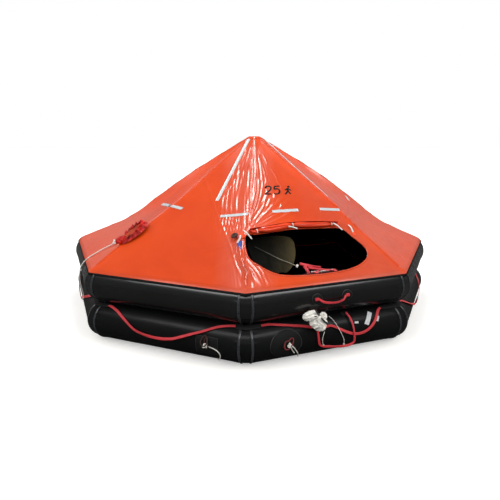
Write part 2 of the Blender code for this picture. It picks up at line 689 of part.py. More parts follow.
# --------------------------------------------------------------- relief valves
for tag, k, f, psi, zc in (("upper", 3, 0.5, 4.0, UPPER_Z), ("lower", 5, 0.20, 4.0, LOWER_Z)):
    bm = bmesh.new()
    bmesh.ops.create_cone(bm, cap_ends=True, segments=24, radius1=0.030, radius2=0.026,
                          depth=0.016)
    at = on_tube(k, f, 0, TUBE_RIM + 0.0085, zc)
    bm.transform(Matrix.Translation(at) @ normal(k).to_track_quat('Z', 'Y').to_matrix().to_4x4())
    add_mesh("relief_valve_" + tag, bm, m_tube)
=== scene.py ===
import math

import bpy
import numpy as np
from mathutils import Matrix, Vector
from mathutils.bvhtree import BVHTree


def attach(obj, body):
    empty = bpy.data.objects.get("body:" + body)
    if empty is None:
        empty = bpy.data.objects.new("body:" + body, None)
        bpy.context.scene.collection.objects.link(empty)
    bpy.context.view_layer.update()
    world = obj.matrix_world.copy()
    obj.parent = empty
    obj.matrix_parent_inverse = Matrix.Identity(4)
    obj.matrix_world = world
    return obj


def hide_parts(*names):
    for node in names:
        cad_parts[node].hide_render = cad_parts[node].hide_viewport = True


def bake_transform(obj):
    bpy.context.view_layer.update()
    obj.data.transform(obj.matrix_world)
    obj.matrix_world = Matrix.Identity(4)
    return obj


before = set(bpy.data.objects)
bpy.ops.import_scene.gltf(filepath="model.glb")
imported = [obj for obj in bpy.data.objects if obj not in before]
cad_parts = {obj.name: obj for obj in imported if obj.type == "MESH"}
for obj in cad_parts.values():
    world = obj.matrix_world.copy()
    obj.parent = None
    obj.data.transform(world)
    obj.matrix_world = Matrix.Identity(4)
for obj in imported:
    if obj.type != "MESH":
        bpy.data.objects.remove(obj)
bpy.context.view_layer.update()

# ------------------------------------------------------------------ dimensions
SIDES = 8
CORNER_R = 2.018
TUBE_R = 0.19
GAP = 0.0003
HALF = math.pi / SIDES
APOTHEM = CORNER_R * math.cos(HALF)
GUSSET = 0.05
GUSSET_APOTHEM = CORNER_R - (GUSSET / 2) / math.tan(3 * HALF)
TUBE_RIM = TUBE_R / math.cos(math.pi / 24)
LOWER_Z = TUBE_R
UPPER_Z = 3 * TUBE_R + GAP
HEM_R = 0.2015
HEM_LOW, HEM_HIGH = 40.0, 57.0
APEX_X, APEX_R, APEX_Z = 0.0625, 0.065, 1.984
Q_LOW = HEM_R * math.cos(math.radians(HEM_LOW))
Q_HIGH = HEM_R * math.cos(math.radians(HEM_HIGH))
Z_LOW = UPPER_Z + HEM_R * math.sin(math.radians(HEM_LOW))
Z_HIGH = UPPER_Z + HEM_R * math.sin(math.radians(HEM_HIGH))
UP = np.array((0.0, 0.0, 1.0))


def normal(k):
    a = 2 * HALF * k + HALF
    return np.array((math.sin(a), -math.cos(a), 0.0))


def tangent(k):
    a = 2 * HALF * k + HALF
    return np.array((math.cos(a), math.sin(a), 0.0))


def corner_dir(k):
    a = 2 * HALF * k
    return np.array((math.sin(a), -math.cos(a), 0.0))


def unit(v):
    v = np.asarray(v, float)
    return v / np.maximum(np.linalg.norm(v, axis=-1, keepdims=True), 1e-12)


def on_tube(k, f, psi, rad, zc):
    """Point beside side k: fraction f along it, psi degrees above the tube's
    equator (180 is the inner side), rad from the tube's centreline."""
    q = rad * math.cos(math.radians(psi))
    z = zc + rad * math.sin(math.radians(psi))
    along = (f - 0.5) * 2 * (APOTHEM + q) * math.tan(HALF)
    return normal(k) * (APOTHEM + q) + tangent(k) * along + UP * z


def tube_normal(k, psi):
    return normal(k) * math.cos(math.radians(psi)) + UP * math.sin(math.radians(psi))


def meet(n1, d1, n2, d2):
    det = n1[0] * n2[1] - n1[1] * n2[0]
    return np.array(((d1 * n2[1] - d2 * n1[1]) / det, (n1[0] * d2 - n2[0] * d1) / det, 0.0))


def ridge_point(k, apothem, z):
    return corner_dir(k) * (apothem / math.cos(HALF)) + UP * z


def spline(points, per, closed=False):
    """Catmull-Rom curve through points of any size, read at per steps a span."""
    pts = np.asarray(points, float)
    n = len(pts)
    out = []
    spans = n if closed else n - 1
    for i in range(spans):
        if closed:
            p0, p1, p2, p3 = (pts[(i + j) % n] for j in (-1, 0, 1, 2))
        else:
            p1, p2 = pts[i], pts[i + 1]
            p0 = pts[i - 1] if i > 0 else p1 * 2 - p2
            p3 = pts[i + 2] if i + 2 < n else p2 * 2 - p1
        for s in range(per):
            t = s / per
            out.append(0.5 * ((2 * p1) + (p2 - p0) * t
                              + (2 * p0 - 5 * p1 + 4 * p2 - p3) * t * t
                              + (3 * p1 - p0 - 3 * p2 + p3) * t ** 3))
    if not closed:
        out.append(pts[-1])
    return np.array(out)


def resample(points, step, closed=False):
    """Points at even spacing near step along a polyline."""
    pts = np.asarray(points, float)
    if closed:
        pts = np.vstack([pts, pts[:1]])
    seg = np.linalg.norm(np.diff(pts, axis=0), axis=1)
    d = np.concatenate([[0], np.cumsum(seg)])
    n = max(2, int(round(d[-1] / step)) + 1)
    t = np.linspace(0, d[-1], n)
    out = np.stack([np.interp(t, d, pts[:, i]) for i in range(pts.shape[1])], axis=1)
    return out[:-1] if closed else out


def smoothstep(a, b, x):
    t = np.clip((x - a) / (b - a), 0, 1)
    return t * t * (3 - 2 * t)


def lattice(p, seed=0):
    """Smooth value noise, -1 to 1, at points p (..., 3)."""
    p = np.asarray(p, float)
    i = np.floor(p).astype(np.int64)
    f = p - i
    f = f * f * (3 - 2 * f)

    def at(dx, dy, dz):
        n = ((i[..., 0] + dx) * 374761393 + (i[..., 1] + dy) * 668265263
             + (i[..., 2] + dz) * 1442695041 + seed * 97531) & 0xffffffff
        n = ((n ^ (n >> 13)) * 1274126177) & 0xffffffff
        n = n ^ (n >> 16)
        return (n & 0xffff) / 32767.5 - 1

    fx, fy, fz = f[..., 0], f[..., 1], f[..., 2]
    out = 0
    for dx in (0, 1):
        for dy in (0, 1):
            for dz in (0, 1):
                w = (fx if dx else 1 - fx) * (fy if dy else 1 - fy) * (fz if dz else 1 - fz)
                out = out + w * at(dx, dy, dz)
    return out


def fbm(p, octaves=3, seed=0):
    out, amp = 0, 1.0
    p = np.asarray(p, float)
    for o in range(octaves):
        out = out + amp * lattice(p * 2 ** o, seed + o * 17)
        amp *= 0.5
    return out / 1.75


# ----------------------------------------------------------------- the camera
CAM = np.array((0.086, -6.174, 2.018))
CAM_ROT = np.array(Matrix.Rotation(math.radians(0.7), 3, 'Z')
                   @ Matrix.Rotation(math.radians(76.8), 3, 'X'))
FOCAL = 35.7 / 36 * 500


def project(p):
    """Place in the 500 x 500 frame, for fitting pieces to what shows there."""
    c = (np.asarray(p, float) - CAM) @ CAM_ROT
    return np.stack([250 + FOCAL * c[..., 0] / -c[..., 2],
                     250 - FOCAL * c[..., 1] / -c[..., 2]], axis=-1)


def sight(px, py):
    return unit(CAM_ROT @ np.array(((px - 250) / FOCAL, -(py - 250) / FOCAL, -1.0)))


cam_data = bpy.data.cameras.new("photo_camera")
cam_data.lens = 35.7
cam_data.sensor_width = 36
cam_data.clip_end = 200
camera = bpy.data.objects.new("photo_camera", cam_data)
camera.location = CAM
camera.rotation_euler = (math.radians(76.8), 0, math.radians(0.7))
bpy.context.scene.collection.objects.link(camera)
bpy.context.scene.camera = camera


# ------------------------------------------------------------------ materials
def new_material(name):
    mat = bpy.data.materials.new(name)
    mat.use_nodes = True
    nt = mat.node_tree
    bsdf = nt.nodes["Principled BSDF"]
    return mat, nt, bsdf


def node(nt, kind, props=None, **inputs):
    n = nt.nodes.new(kind)
    for key, value in (props or {}).items():
        setattr(n, key, value)
    for key, value in inputs.items():
        sock = n.inputs[int(key[1:])] if key[0] == "i" and key[1:].isdigit() else \
            n.inputs[key.replace("_", " ")]
        if isinstance(value, bpy.types.NodeSocket):
            nt.links.new(value, sock)
        else:
            sock.default_value = value
    return n


def math_node(nt, op, a, b=0.0, c=0.0):
    return node(nt, 'ShaderNodeMath', {"operation": op}, i0=a, i1=b, i2=c).outputs[0]


def ramp(nt, fac, stops):
    n = nt.nodes.new('ShaderNodeValToRGB')
    while len(n.color_ramp.elements) < len(stops):
        n.color_ramp.elements.new(0.5)
    for e, (pos, col) in zip(n.color_ramp.elements, stops):
        e.position = pos
        e.color = (col[0], col[1], col[2], 1)
    nt.links.new(fac, n.inputs[0])
    return n.outputs[0]


def grey(nt, fac, stops):
    return ramp(nt, fac, [(p, (v, v, v)) for p, v in stops])


def noise_node(nt, coord, scale, detail=3.0, rough=0.55, distort=0.0, stretch=None):
    if stretch is not None:
        coord = node(nt, 'ShaderNodeMapping', None, i0=coord, i3=stretch).outputs[0]
    return node(nt, 'ShaderNodeTexNoise', None, Vector=coord, Scale=scale, Detail=detail,
                Roughness=rough, Distortion=distort).outputs[0]


def mix_colour(nt, fac, a, b, mode='MIX'):
    n = nt.nodes.new('ShaderNodeMix')
    n.data_type = 'RGBA'
    n.blend_type = mode
    for key, value in ((0, fac), (6, a), (7, b)):
        if isinstance(value, bpy.types.NodeSocket):
            nt.links.new(value, n.inputs[key])
        else:
            n.inputs[key].default_value = value if key == 0 else (*value[:3], 1)
    return n.outputs[2]


def bump_chain(nt, bsdf, layers):
    """layers: (height socket, strength, distance), coarse first."""
    last = None
    for height, strength, distance in layers:
        b = node(nt, 'ShaderNodeBump', None, Strength=strength, Distance=distance, Height=height)
        if last is not None:
            nt.links.new(last, b.inputs["Normal"])
        last = b.outputs[0]
    nt.links.new(last, bsdf.inputs["Normal"])
    return last


def weave_height(nt, coord, scale):
    """Plain weave from two crossed waves, for flat and curved cloth alike."""
    w1 = node(nt, 'ShaderNodeTexWave', {"wave_type": 'BANDS', "bands_direction": 'X'},
              Vector=coord, Scale=scale, Distortion=0.25, Detail=1.0).outputs[1]
    w2 = node(nt, 'ShaderNodeTexWave', {"wave_type": 'BANDS', "bands_direction": 'Y'},
              Vector=coord, Scale=scale, Distortion=0.25, Detail=1.0).outputs[1]
    w3 = node(nt, 'ShaderNodeTexWave', {"wave_type": 'BANDS', "bands_direction": 'Z'},
              Vector=coord, Scale=scale, Distortion=0.25, Detail=1.0).outputs[1]
    return math_node(nt, 'ADD', math_node(nt, 'MULTIPLY', w1, w2), w3)


def object_coord(nt):
    return node(nt, 'ShaderNodeTexCoord').outputs["Object"]


def uv_coord(nt):
    return node(nt, 'ShaderNodeTexCoord').outputs["UV"]


def mat_coated(name, dark, light, rough=(0.36, 0.5), coat=0.0, coat_rough=0.2, specular=0.5,
               creases=0.5, crease_size=9.0, weave=0.12, blotch=2.2, sheen=0.0, big_bump=0.004):
    """Coated cloth: large soft tone changes, fine crumple, woven base showing through."""
    mat, nt, bsdf = new_material(name)
    co = object_coord(nt)
    tone = noise_node(nt, co, blotch, 4.0, 0.6, 0.4)
    nt.links.new(ramp(nt, tone, [(0.3, dark), (0.7, light)]), bsdf.inputs["Base Color"])
    rn = noise_node(nt, co, 14.0, 3.0, 0.6)
    nt.links.new(grey(nt, rn, [(0.25, rough[0]), (0.75, rough[1])]), bsdf.inputs["Roughness"])
    bsdf.inputs["Specular IOR Level"].default_value = specular
    bsdf.inputs["Coat Weight"].default_value = coat
    bsdf.inputs["Coat Roughness"].default_value = coat_rough
    bsdf.inputs["Sheen Weight"].default_value = sheen
    crumple = noise_node(nt, co, crease_size, 3.0, 0.5, 1.2)
    fine = weave_height(nt, co, 260.0)
    bump_chain(nt, bsdf, [(crumple, creases, big_bump), (fine, weave, 0.0004)])
    return mat


def mat_webbing(name, dark, light, rough=0.62):
    """Flat woven strap: UV is metres along and across it."""
    mat, nt, bsdf = new_material(name)
    uv = uv_coord(nt)
    sep = node(nt, 'ShaderNodeSeparateXYZ', None, i0=uv)
    u, v = sep.outputs[0], sep.outputs[1]
    a = math_node(nt, 'SINE', math_node(nt, 'MULTIPLY', u, 2 * math.pi / 0.0042))
    b = math_node(nt, 'SINE', math_node(nt, 'MULTIPLY', v, 2 * math.pi / 0.0034))
    ab = math_node(nt, 'MULTIPLY', a, b)
    h = math_node(nt, 'MULTIPLY_ADD', ab, 0.5, 0.5)
    grain = noise_node(nt, uv, 300.0, 3.0, 0.7)
    tone = noise_node(nt, object_coord(nt), 6.0, 3.0, 0.6)
    c = ramp(nt, h, [(0.0, dark), (0.55, light)])
    c2 = mix_colour(nt, math_node(nt, 'MULTIPLY', tone, 0.35), c, (dark[0] * .8, dark[1] * .8, dark[2] * .8))
    nt.links.new(c2, bsdf.inputs["Base Color"])
    nt.links.new(grey(nt, grain, [(0.3, rough - 0.06), (0.7, rough + 0.1)]), bsdf.inputs["Roughness"])
    bsdf.inputs["Sheen Weight"].default_value = 0.15
    bump_chain(nt, bsdf, [(grain, 0.25, 0.0006), (h, 0.6, 0.0008)])
    return mat


def mat_braid(name, dark, light, dim=None):
    """Round braided line: UV is metres along and turns around it.  dim: painted
    shade, darkened below the first place along x, full colour above the second."""
    mat, nt, bsdf = new_material(name)
    uv = uv_coord(nt)
    sep = node(nt, 'ShaderNodeSeparateXYZ', None, i0=uv)
    u, v = sep.outputs[0], sep.outputs[1]
    s1 = math_node(nt, 'SINE', math_node(nt, 'MULTIPLY_ADD', v, 2 * math.pi * 4,
                                         math_node(nt, 'MULTIPLY', u, 2 * math.pi / 0.012)))
    s2 = math_node(nt, 'SINE', math_node(nt, 'MULTIPLY_ADD', v, -2 * math.pi * 4,
                                         math_node(nt, 'MULTIPLY', u, 2 * math.pi / 0.012)))
    h = math_node(nt, 'MULTIPLY_ADD', math_node(nt, 'MULTIPLY', s1, s2), 0.5, 0.5)
    grain = noise_node(nt, object_coord(nt), 240.0, 2.0, 0.6)
    c = ramp(nt, h, [(0.0, dark), (0.5, light)])
    c2 = mix_colour(nt, math_node(nt, 'MULTIPLY', grain, 0.3), c, dark)
    # painted shade: the line is darkened towards low x
    if dim:
        x = node(nt, 'ShaderNodeSeparateXYZ', None, i0=object_coord(nt)).outputs[0]
        painted_lit_fac = node(nt, 'ShaderNodeMapRange', None, i0=x, i1=dim[0], i2=dim[1]).outputs[0]
        c2 = mix_colour(nt, painted_lit_fac, tuple(v * .06 for v in dark), c2)
    nt.links.new(c2, bsdf.inputs["Base Color"])
    bsdf.inputs["Roughness"].default_value = 0.72
    bump_chain(nt, bsdf, [(h, 0.5, 0.0012)])
    return mat


ORANGE_D, ORANGE_L = (0.66, 0.054, 0.005), (0.78, 0.074, 0.008)
M_TUBE = mat_coated("tube_rubber_look", (0.0020, 0.0023, 0.0025), (0.0048, 0.0053, 0.0058),
                    rough=(0.34, 0.50), specular=0.10, coat=0.80, coat_rough=0.19, creases=0.14,
                    crease_size=5.0, weave=0.10, blotch=1.6, big_bump=0.004)
for look in (M_TUBE,):
    for n_ in look.node_tree.nodes:
        if n_.type == 'BSDF_PRINCIPLED':
            n_.inputs["Coat IOR"].default_value = 1.72
M_TUBE_LOW = mat_coated("lower_tube_rubber_look", (0.0022, 0.0025, 0.0028), (0.0056, 0.0063, 0.0070),
                        rough=(0.40, 0.55), specular=0.10, coat=0.30, coat_rough=0.26, creases=0.14,
                        crease_size=5.0, weave=0.10, blotch=1.6, big_bump=0.004)
M_CANOPY = mat_coated("canopy_look", ORANGE_D, ORANGE_L, rough=(0.34, 0.48), coat=0.85,
                      coat_rough=0.14, specular=0.06, creases=0.20, crease_size=7.0, weave=0.10,
                      blotch=1.3, big_bump=0.004)


def place_shine_and_painted_shade(mat):
    """The tent's cloth is not equally wet-looking: dull high on the left side
    panel, hazier in the gathered front and towards the right. Its base colour
    is painted a darker orange in front and on that dull panel: painted shade."""
    nt = mat.node_tree
    bsdf = next(n_ for n_ in nt.nodes if n_.type == 'BSDF_PRINCIPLED')
    xyz = node(nt, 'ShaderNodeSeparateXYZ', None, i0=object_coord(nt)).outputs
    x, y, z = xyz[0], xyz[1], xyz[2]
    side = node(nt, 'ShaderNodeMapRange', None, i0=math_node(nt, 'SUBTRACT', y, x), i1=-0.02, i2=0.10).outputs[0]
    side = math_node(nt, 'MULTIPLY', side,
                     node(nt, 'ShaderNodeMapRange', None, i0=x, i1=0.05, i2=-0.05).outputs[0])
    high = node(nt, 'ShaderNodeMapRange', None, i0=z, i1=1.02, i2=1.30).outputs[0]
    dull = math_node(nt, 'MULTIPLY', side, high)
    nt.links.new(math_node(nt, 'MULTIPLY_ADD', dull, -0.72, 0.85), bsdf.inputs["Coat Weight"])
    ahead = node(nt, 'ShaderNodeMapRange', None, i1=0.0, i2=0.12,
                 i0=math_node(nt, 'SUBTRACT', math_node(nt, 'MULTIPLY', y, -1.0),
                              math_node(nt, 'ABSOLUTE', x))).outputs[0]
    plain = bsdf.inputs["Base Color"].links[0].from_socket
    # painted shade: a darker orange mixed in at the front and high on the left side panel
    deep = ramp(nt, noise_node(nt, object_coord(nt), 1.3, 4.0, 0.6, 0.4),
                [(0.3, tuple(v * .86 for v in ORANGE_D[:3])), (0.7, tuple(v * .86 for v in ORANGE_L[:3]))])
    nt.links.new(mix_colour(nt, math_node(nt, 'MAXIMUM', ahead, dull), plain, deep),
                 bsdf.inputs["Base Color"])
    middle = node(nt, 'ShaderNodeMapRange', None, i0=math_node(nt, 'ABSOLUTE', x), i1=0.30, i2=0.10).outputs[0]
    middle = math_node(nt, 'MULTIPLY', middle,
                       node(nt, 'ShaderNodeMapRange', None, i0=y, i1=-0.1, i2=-0.4).outputs[0])
    right = node(nt, 'ShaderNodeMapRange', None, i0=x, i1=0.50, i2=1.20).outputs[0]
    front = node(nt, 'ShaderNodeMapRange', None, i0=math_node(nt, 'ADD', x, y), i1=0.02, i2=-0.10).outputs[0]
    right = math_node(nt, 'MULTIPLY', right, front)
    haze = math_node(nt, 'MAXIMUM', math_node(nt, 'MULTIPLY', middle, 0.34),
                     math_node(nt, 'MULTIPLY', right, 0.40))
    nt.links.new(math_node(nt, 'ADD', haze, 0.06), bsdf.inputs["Specular IOR Level"])


place_shine_and_painted_shade(M_CANOPY)
M_LINING = mat_coated("lining_look", (0.012, 0.011, 0.008), (0.022, 0.020, 0.014),
                      rough=(0.6, 0.8), specular=0.3, creases=0.5, crease_size=10.0, weave=0.25)


def mat_curtain():
    """Dim olive cloth, painted near black to the left and paler towards its free edge on the right: painted shade
    and a painted pool of light.
    """
    mat, nt, bsdf = new_material("curtain_look")
    co = object_coord(nt)
    sep = node(nt, 'ShaderNodeSeparateXYZ', None, i0=co)
    tone = noise_node(nt, co, 7.0, 4.0, 0.6, 0.6)
    # painted shade and light: the colour runs from near black on the left to olive on the right
    reach = math_node(nt, 'MULTIPLY_ADD', tone, 0.12, sep.outputs[0])
    c = ramp(nt, math_node(nt, 'MULTIPLY_ADD', reach, 2.2, -0.15),
             [(0.0, (0.003, 0.003, 0.003)), (0.45, (0.006, 0.006, 0.004)),
              (0.75, (0.024, 0.020, 0.011)), (1.0, (0.062, 0.049, 0.023))])
    nt.links.new(c, bsdf.inputs["Base Color"])
    nt.links.new(grey(nt, tone, [(0.3, 0.6), (0.7, 0.8)]), bsdf.inputs["Roughness"])
    bsdf.inputs["Specular IOR Level"].default_value = 0.03
    bump_chain(nt, bsdf, [(noise_node(nt, co, 14.0, 3.0, 0.5, 1.2), 0.6, 0.004),
                          (weave_height(nt, co, 260.0), 0.25, 0.0004)])
    return mat


M_CURTAIN = mat_curtain()
M_FLOORCLOTH = mat_coated("floor_look", (0.008, 0.0085, 0.009), (0.016, 0.017, 0.018),
                          rough=(0.5, 0.7), specular=0.35, creases=0.5, crease_size=8.0, weave=0.4)
M_PATCH = mat_coated("patch_look", (0.007, 0.0075, 0.008), (0.013, 0.014, 0.015),
                     rough=(0.5, 0.65), specular=0.2, creases=0.15, crease_size=20.0, weave=0.3)
# pale grey edge of the black patches: a painted highlight on their rims
M_PATCH_RIM_PAINTED_HIGHLIGHT = mat_coated("patch_edge_look", (0.034, 0.036, 0.038), (0.070, 0.073, 0.076),
                          rough=(0.5, 0.65), specular=0.4, creases=0.1, crease_size=20.0)
# the port's blotches run from near black to bright red: partly the cloth's own tone, partly painted shade and light
# of crumples
M_PORT = mat_coated("port_look", (0.085, 0.002, 0.003), (0.80, 0.022, 0.016), rough=(0.4, 0.6),
                    specular=0.10, coat=0.15, coat_rough=0.25, creases=0.8, crease_size=26.0, weave=0.2, blotch=17.0)
M_PORT_IN = mat_coated("port_inside_look", (0.34, 0.035, 0.010), (0.66, 0.090, 0.024),
                       rough=(0.4, 0.6), specular=0.15, creases=0.5, crease_size=26.0, blotch=7.0)
# a redder orange, partly the cloth's own and partly painted light: brighter than the canopy cloth to lift the shaded
# roll
M_ROLL_PAINTED_LIGHT = mat_coated("door_roll_look", (0.78, 0.044, 0.010), (0.94, 0.084, 0.018),
                    rough=(0.34, 0.48), coat=0.8, coat_rough=0.16, specular=0.08, creases=0.35,
                    crease_size=14.0, blotch=4.0)
M_WEB = mat_webbing("red_webbing_look", (0.42, 0.006, 0.014), (0.88, 0.020, 0.042))
M_ORANGE_WEB = mat_webbing("orange_tape_look", (0.50, 0.040, 0.010), (0.74, 0.075, 0.016))
M_BLACK_WEB = mat_webbing("black_webbing_look", (0.004, 0.004, 0.004), (0.020, 0.020, 0.021))
M_CORD = mat_braid("white_cord_look", (0.58, 0.57, 0.54), (0.92, 0.91, 0.87))
# the rope is painted darker towards its left end, as painted shade
M_ROPE = mat_braid("inner_rope_look", (0.16, 0.145, 0.11), (0.36, 0.32, 0.25), dim=(0.14, 0.42))
M_BROWN = mat_braid("brown_loop_look", (0.022, 0.006, 0.004), (0.085, 0.022, 0.014))
M_BAG = mat_coated("white_bag_look", (0.86, 0.85, 0.80), (0.98, 0.97, 0.92), rough=(0.35, 0.55),
                   specular=0.5, creases=0.7, crease_size=30.0, weave=0.2, blotch=14.0)


def mat_reflective():
    """Silver-white reflective tape: small close-set cells under a clear film."""
    mat, nt, bsdf = new_material("reflective_tape_look")
    co = object_coord(nt)
    cells = node(nt, 'ShaderNodeTexVoronoi', {"feature": 'DISTANCE_TO_EDGE'}, Vector=co,
                 Scale=260.0).outputs[0]
    tone = noise_node(nt, co, 18.0, 3.0, 0.6)
    c = ramp(nt, cells, [(0.0, (0.46, 0.51, 0.54)), (0.08, (0.62, 0.68, 0.71))])
    c = mix_colour(nt, math_node(nt, "MULTIPLY", tone, 0.25), c, (0.48, 0.58, 0.61))
    nt.links.new(c, bsdf.inputs["Base Color"])
    bsdf.inputs["Roughness"].default_value = 0.35
    bsdf.inputs["Metallic"].default_value = 0.15
    bsdf.inputs["Coat Weight"].default_value = 0.3
    bump_chain(nt, bsdf, [(cells, 0.2, 0.0004)])
    return mat


def mat_print(name, dark, light):
    mat, nt, bsdf = new_material(name)
    co = object_coord(nt)
    tone = noise_node(nt, co, 60.0, 4.0, 0.7)
    nt.links.new(ramp(nt, tone, [(0.35, dark), (0.62, light)]), bsdf.inputs["Base Color"])
    nt.links.new(grey(nt, tone, [(0.3, 0.45), (0.7, 0.62)]), bsdf.inputs["Roughness"])
    bsdf.inputs["Specular IOR Level"].default_value = 0.12
    bump_chain(nt, bsdf, [(weave_height(nt, co, 260.0), 0.1, 0.0004)])
    return mat


def mat_metal(name, dark, light, metallic, rough):
    mat, nt, bsdf = new_material(name)
    co = object_coord(nt)
    tone = noise_node(nt, co, 22.0, 4.0, 0.65)
    nt.links.new(ramp(nt, tone, [(0.3, dark), (0.7, light)]), bsdf.inputs["Base Color"])
    nt.links.new(grey(nt, noise_node(nt, co, 60.0, 3.0, 0.6), [(0.3, rough - .08), (0.7, rough + .1)]),
                 bsdf.inputs["Roughness"])
    bsdf.inputs["Metallic"].default_value = metallic
    bump_chain(nt, bsdf, [(noise_node(nt, co, 120.0, 3.0, 0.6), 0.12, 0.001)])
    return mat


M_TAPE = mat_reflective()
M_INK = mat_print("black_print_look", (0.002, 0.002, 0.002), (0.007, 0.005, 0.005))
M_LABEL = mat_print("blank_label_look", (0.52, 0.54, 0.60), (0.80, 0.82, 0.86))
M_BLUE = mat_print("blue_tab_look", (0.02, 0.05, 0.26), (0.05, 0.11, 0.42))
M_STEEL = mat_metal("bottle_look", (0.36, 0.37, 0.36), (0.50, 0.51, 0.49), 0.2, 0.42)
M_BRASS = mat_metal("valve_look", (0.48, 0.32, 0.11), (0.66, 0.47, 0.20), 1.0, 0.32)
M_VALVE = mat_metal("relief_valve_look", (0.018, 0.019, 0.020), (0.045, 0.046, 0.048), 0.0, 0.5)


# ------------------------------------------------------------- mesh and pieces
collection = bpy.data.collections.new("raft_looks")
bpy.context.scene.collection.children.link(collection)


def piece(name, verts, faces, mats, body="raft", replaces=(), smooth=True, uvs=None,
          face_mats=None, sharp=None):
    mesh = bpy.data.meshes.new(name)
    mesh.from_pydata([tuple(map(float, v)) for v in verts], [], [tuple(map(int, f)) for f in faces])
    for m in (mats if isinstance(mats, (list, tuple)) else [mats]):
        mesh.materials.append(m)
    if smooth:
        mesh.shade_smooth()
        if sharp:
            mesh.set_sharp_from_angle(angle=math.radians(sharp))
    if face_mats is not None:
        mesh.polygons.foreach_set("material_index", np.asarray(face_mats, np.int32))
    if uvs is not None:
        layer = mesh.uv_layers.new(name="UVMap")
        loops = np.zeros(len(mesh.loops), np.int32)
        mesh.loops.foreach_get("vertex_index", loops)
        layer.data.foreach_set("uv", np.asarray(uvs, np.float32)[loops].ravel())
    mesh.update()
    obj = bpy.data.objects.new(name, mesh)
    collection.objects.link(obj)
    if body:
        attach(obj, body)
    if replaces:
        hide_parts(*([replaces] if isinstance(replaces, str) else replaces))
    return obj


def grid_faces(nu, nv, close_u=False, close_v=False, flip=False, offset=0):
    """Quads of a grid of nu x nv points stored row by row (index = j * nu + i)."""
    i = np.arange(nu if close_u else nu - 1)
    j = np.arange(nv if close_v else nv - 1)
    ii, jj = np.meshgrid(i, j)
    a = jj * nu + ii
    b = jj * nu + (ii + 1) % nu
    c = ((jj + 1) % nv) * nu + (ii + 1) % nu
    d = ((jj + 1) % nv) * nu + ii
    q = np.stack([a, b, c, d], axis=-1).reshape(-1, 4) + offset
    return q[:, ::-1] if flip else q


def frames_along(path, ups, closed=False):
    """Tangent, side and up at each point of a path."""
    p = np.asarray(path, float)
    if closed:
        t = unit(np.roll(p, -1, axis=0) - np.roll(p, 1, axis=0))
    else:
        t = unit(np.gradient(p, axis=0))
    u = np.asarray(ups, float)
    side = unit(np.cross(u, t))
    up = unit(np.cross(t, side))
    return t, side, up


def ribbon_mesh(path, ups, width, thick, across=4, closed=False, crown=0.0, edge=0.35):
    """A flat strap: returns verts, faces and uvs in metres along and across."""
    path = np.asarray(path, float)
    n = len(path)
    t, side, up = frames_along(path, ups, closed)
    width = np.broadcast_to(np.asarray(width, float), (n,))
    thick = np.broadcast_to(np.asarray(thick, float), (n,))
    d = np.concatenate([[0], np.cumsum(np.linalg.norm(np.diff(path, axis=0), axis=1))])
    xs = np.linspace(-1, 1, across + 1)
    prof = [(x, 1.0 - edge * (abs(x) > 0.99) + crown * (1 - x * x)) for x in xs]
    prof += [(x, -1.0 + edge * (abs(x) > 0.99) + crown * (1 - x * x)) for x in xs[::-1]]
    m = len(prof)
    verts = np.zeros((n, m, 3))
    uvs = np.zeros((n, m, 2))
    for j, (x, y) in enumerate(prof):
        verts[:, j] = path + side * (x * width / 2)[:, None] + up * (y * thick / 2)[:, None]
        uvs[:, j, 0] = d
        uvs[:, j, 1] = x * width / 2
    faces = [tuple(f) for f in grid_faces(m, n, close_u=True, close_v=closed, flip=True)]
    if not closed:
        for row, flip in ((0, False), (n - 1, True)):
            base = row * m
            h = across + 1
            for c in range(across):
                q = (base + c, base + c + 1, base + m - 2 - c, base + m - 1 - c)
                faces.append(q[::-1] if flip else q)
    return verts.reshape(-1, 3), faces, uvs.reshape(-1, 2)


def tube_mesh(path, radius, around=10, ups=None, closed=False, caps=True, squash=1.0):
    """A round line along a path: verts, faces and uvs (metres along, turns around)."""
    path = np.asarray(path, float)
    n = len(path)
    if ups is None:
        # carry a frame along the path without twist
        t = unit(np.roll(path, -1, 0) - np.roll(path, 1, 0)) if closed else unit(np.gradient(path, axis=0))
        up = np.zeros_like(path)
        ref = np.array((0, 0, 1.0)) if abs(t[0][2]) < 0.9 else np.array((1.0, 0, 0))
        up[0] = unit(ref - t[0] * ref.dot(t[0]))
        for i in range(1, n):
            w = up[i - 1] - t[i] * up[i - 1].dot(t[i])
            up[i] = unit(w)
        side = np.cross(up, t)
    else:
        t, side, up = frames_along(path, ups, closed)
    radius = np.asarray(radius, float)
    if radius.ndim < 2:
        radius = np.broadcast_to(radius.reshape(-1, 1) if radius.ndim else radius, (n, around))
    a = np.linspace(0, 2 * math.pi, around, endpoint=False)
    verts = (path[:, None, :] + side[:, None, :] * (np.cos(a)[None, :] * radius)[..., None]
             + up[:, None, :] * (np.sin(a)[None, :] * radius * squash)[..., None])
    d = np.concatenate([[0], np.cumsum(np.linalg.norm(np.diff(path, axis=0), axis=1))])
    uvs = np.zeros((n, around, 2))
    uvs[..., 0] = d[:, None]
    uvs[..., 1] = (np.arange(around) / around)[None, :]
    faces = [tuple(f) for f in grid_faces(around, n, close_u=True, close_v=closed)]
    verts = verts.reshape(-1, 3)
    uvs = uvs.reshape(-1, 2)
    if caps and not closed:
        faces.append(tuple(range(around))[::-1])
        faces.append(tuple(range((n - 1) * around, n * around)))
    return verts, faces, uvs


def join(parts):
    """Several (verts, faces, uvs, material index) as one mesh's data."""
    verts, faces, uvs, fm = [], [], [], []
    off = 0
    for part in parts:
        v, f, u = part[:3]
        mi = part[3] if len(part) > 3 else 0
        verts.append(np.asarray(v))
        uvs.append(np.asarray(u) if u is not None else np.zeros((len(v), 2)))
        faces += [tuple(int(i) + off for i in q) for q in f]
        fm += [mi] * len(f)
        off += len(v)
    return np.vstack(verts), faces, np.vstack(uvs), fm


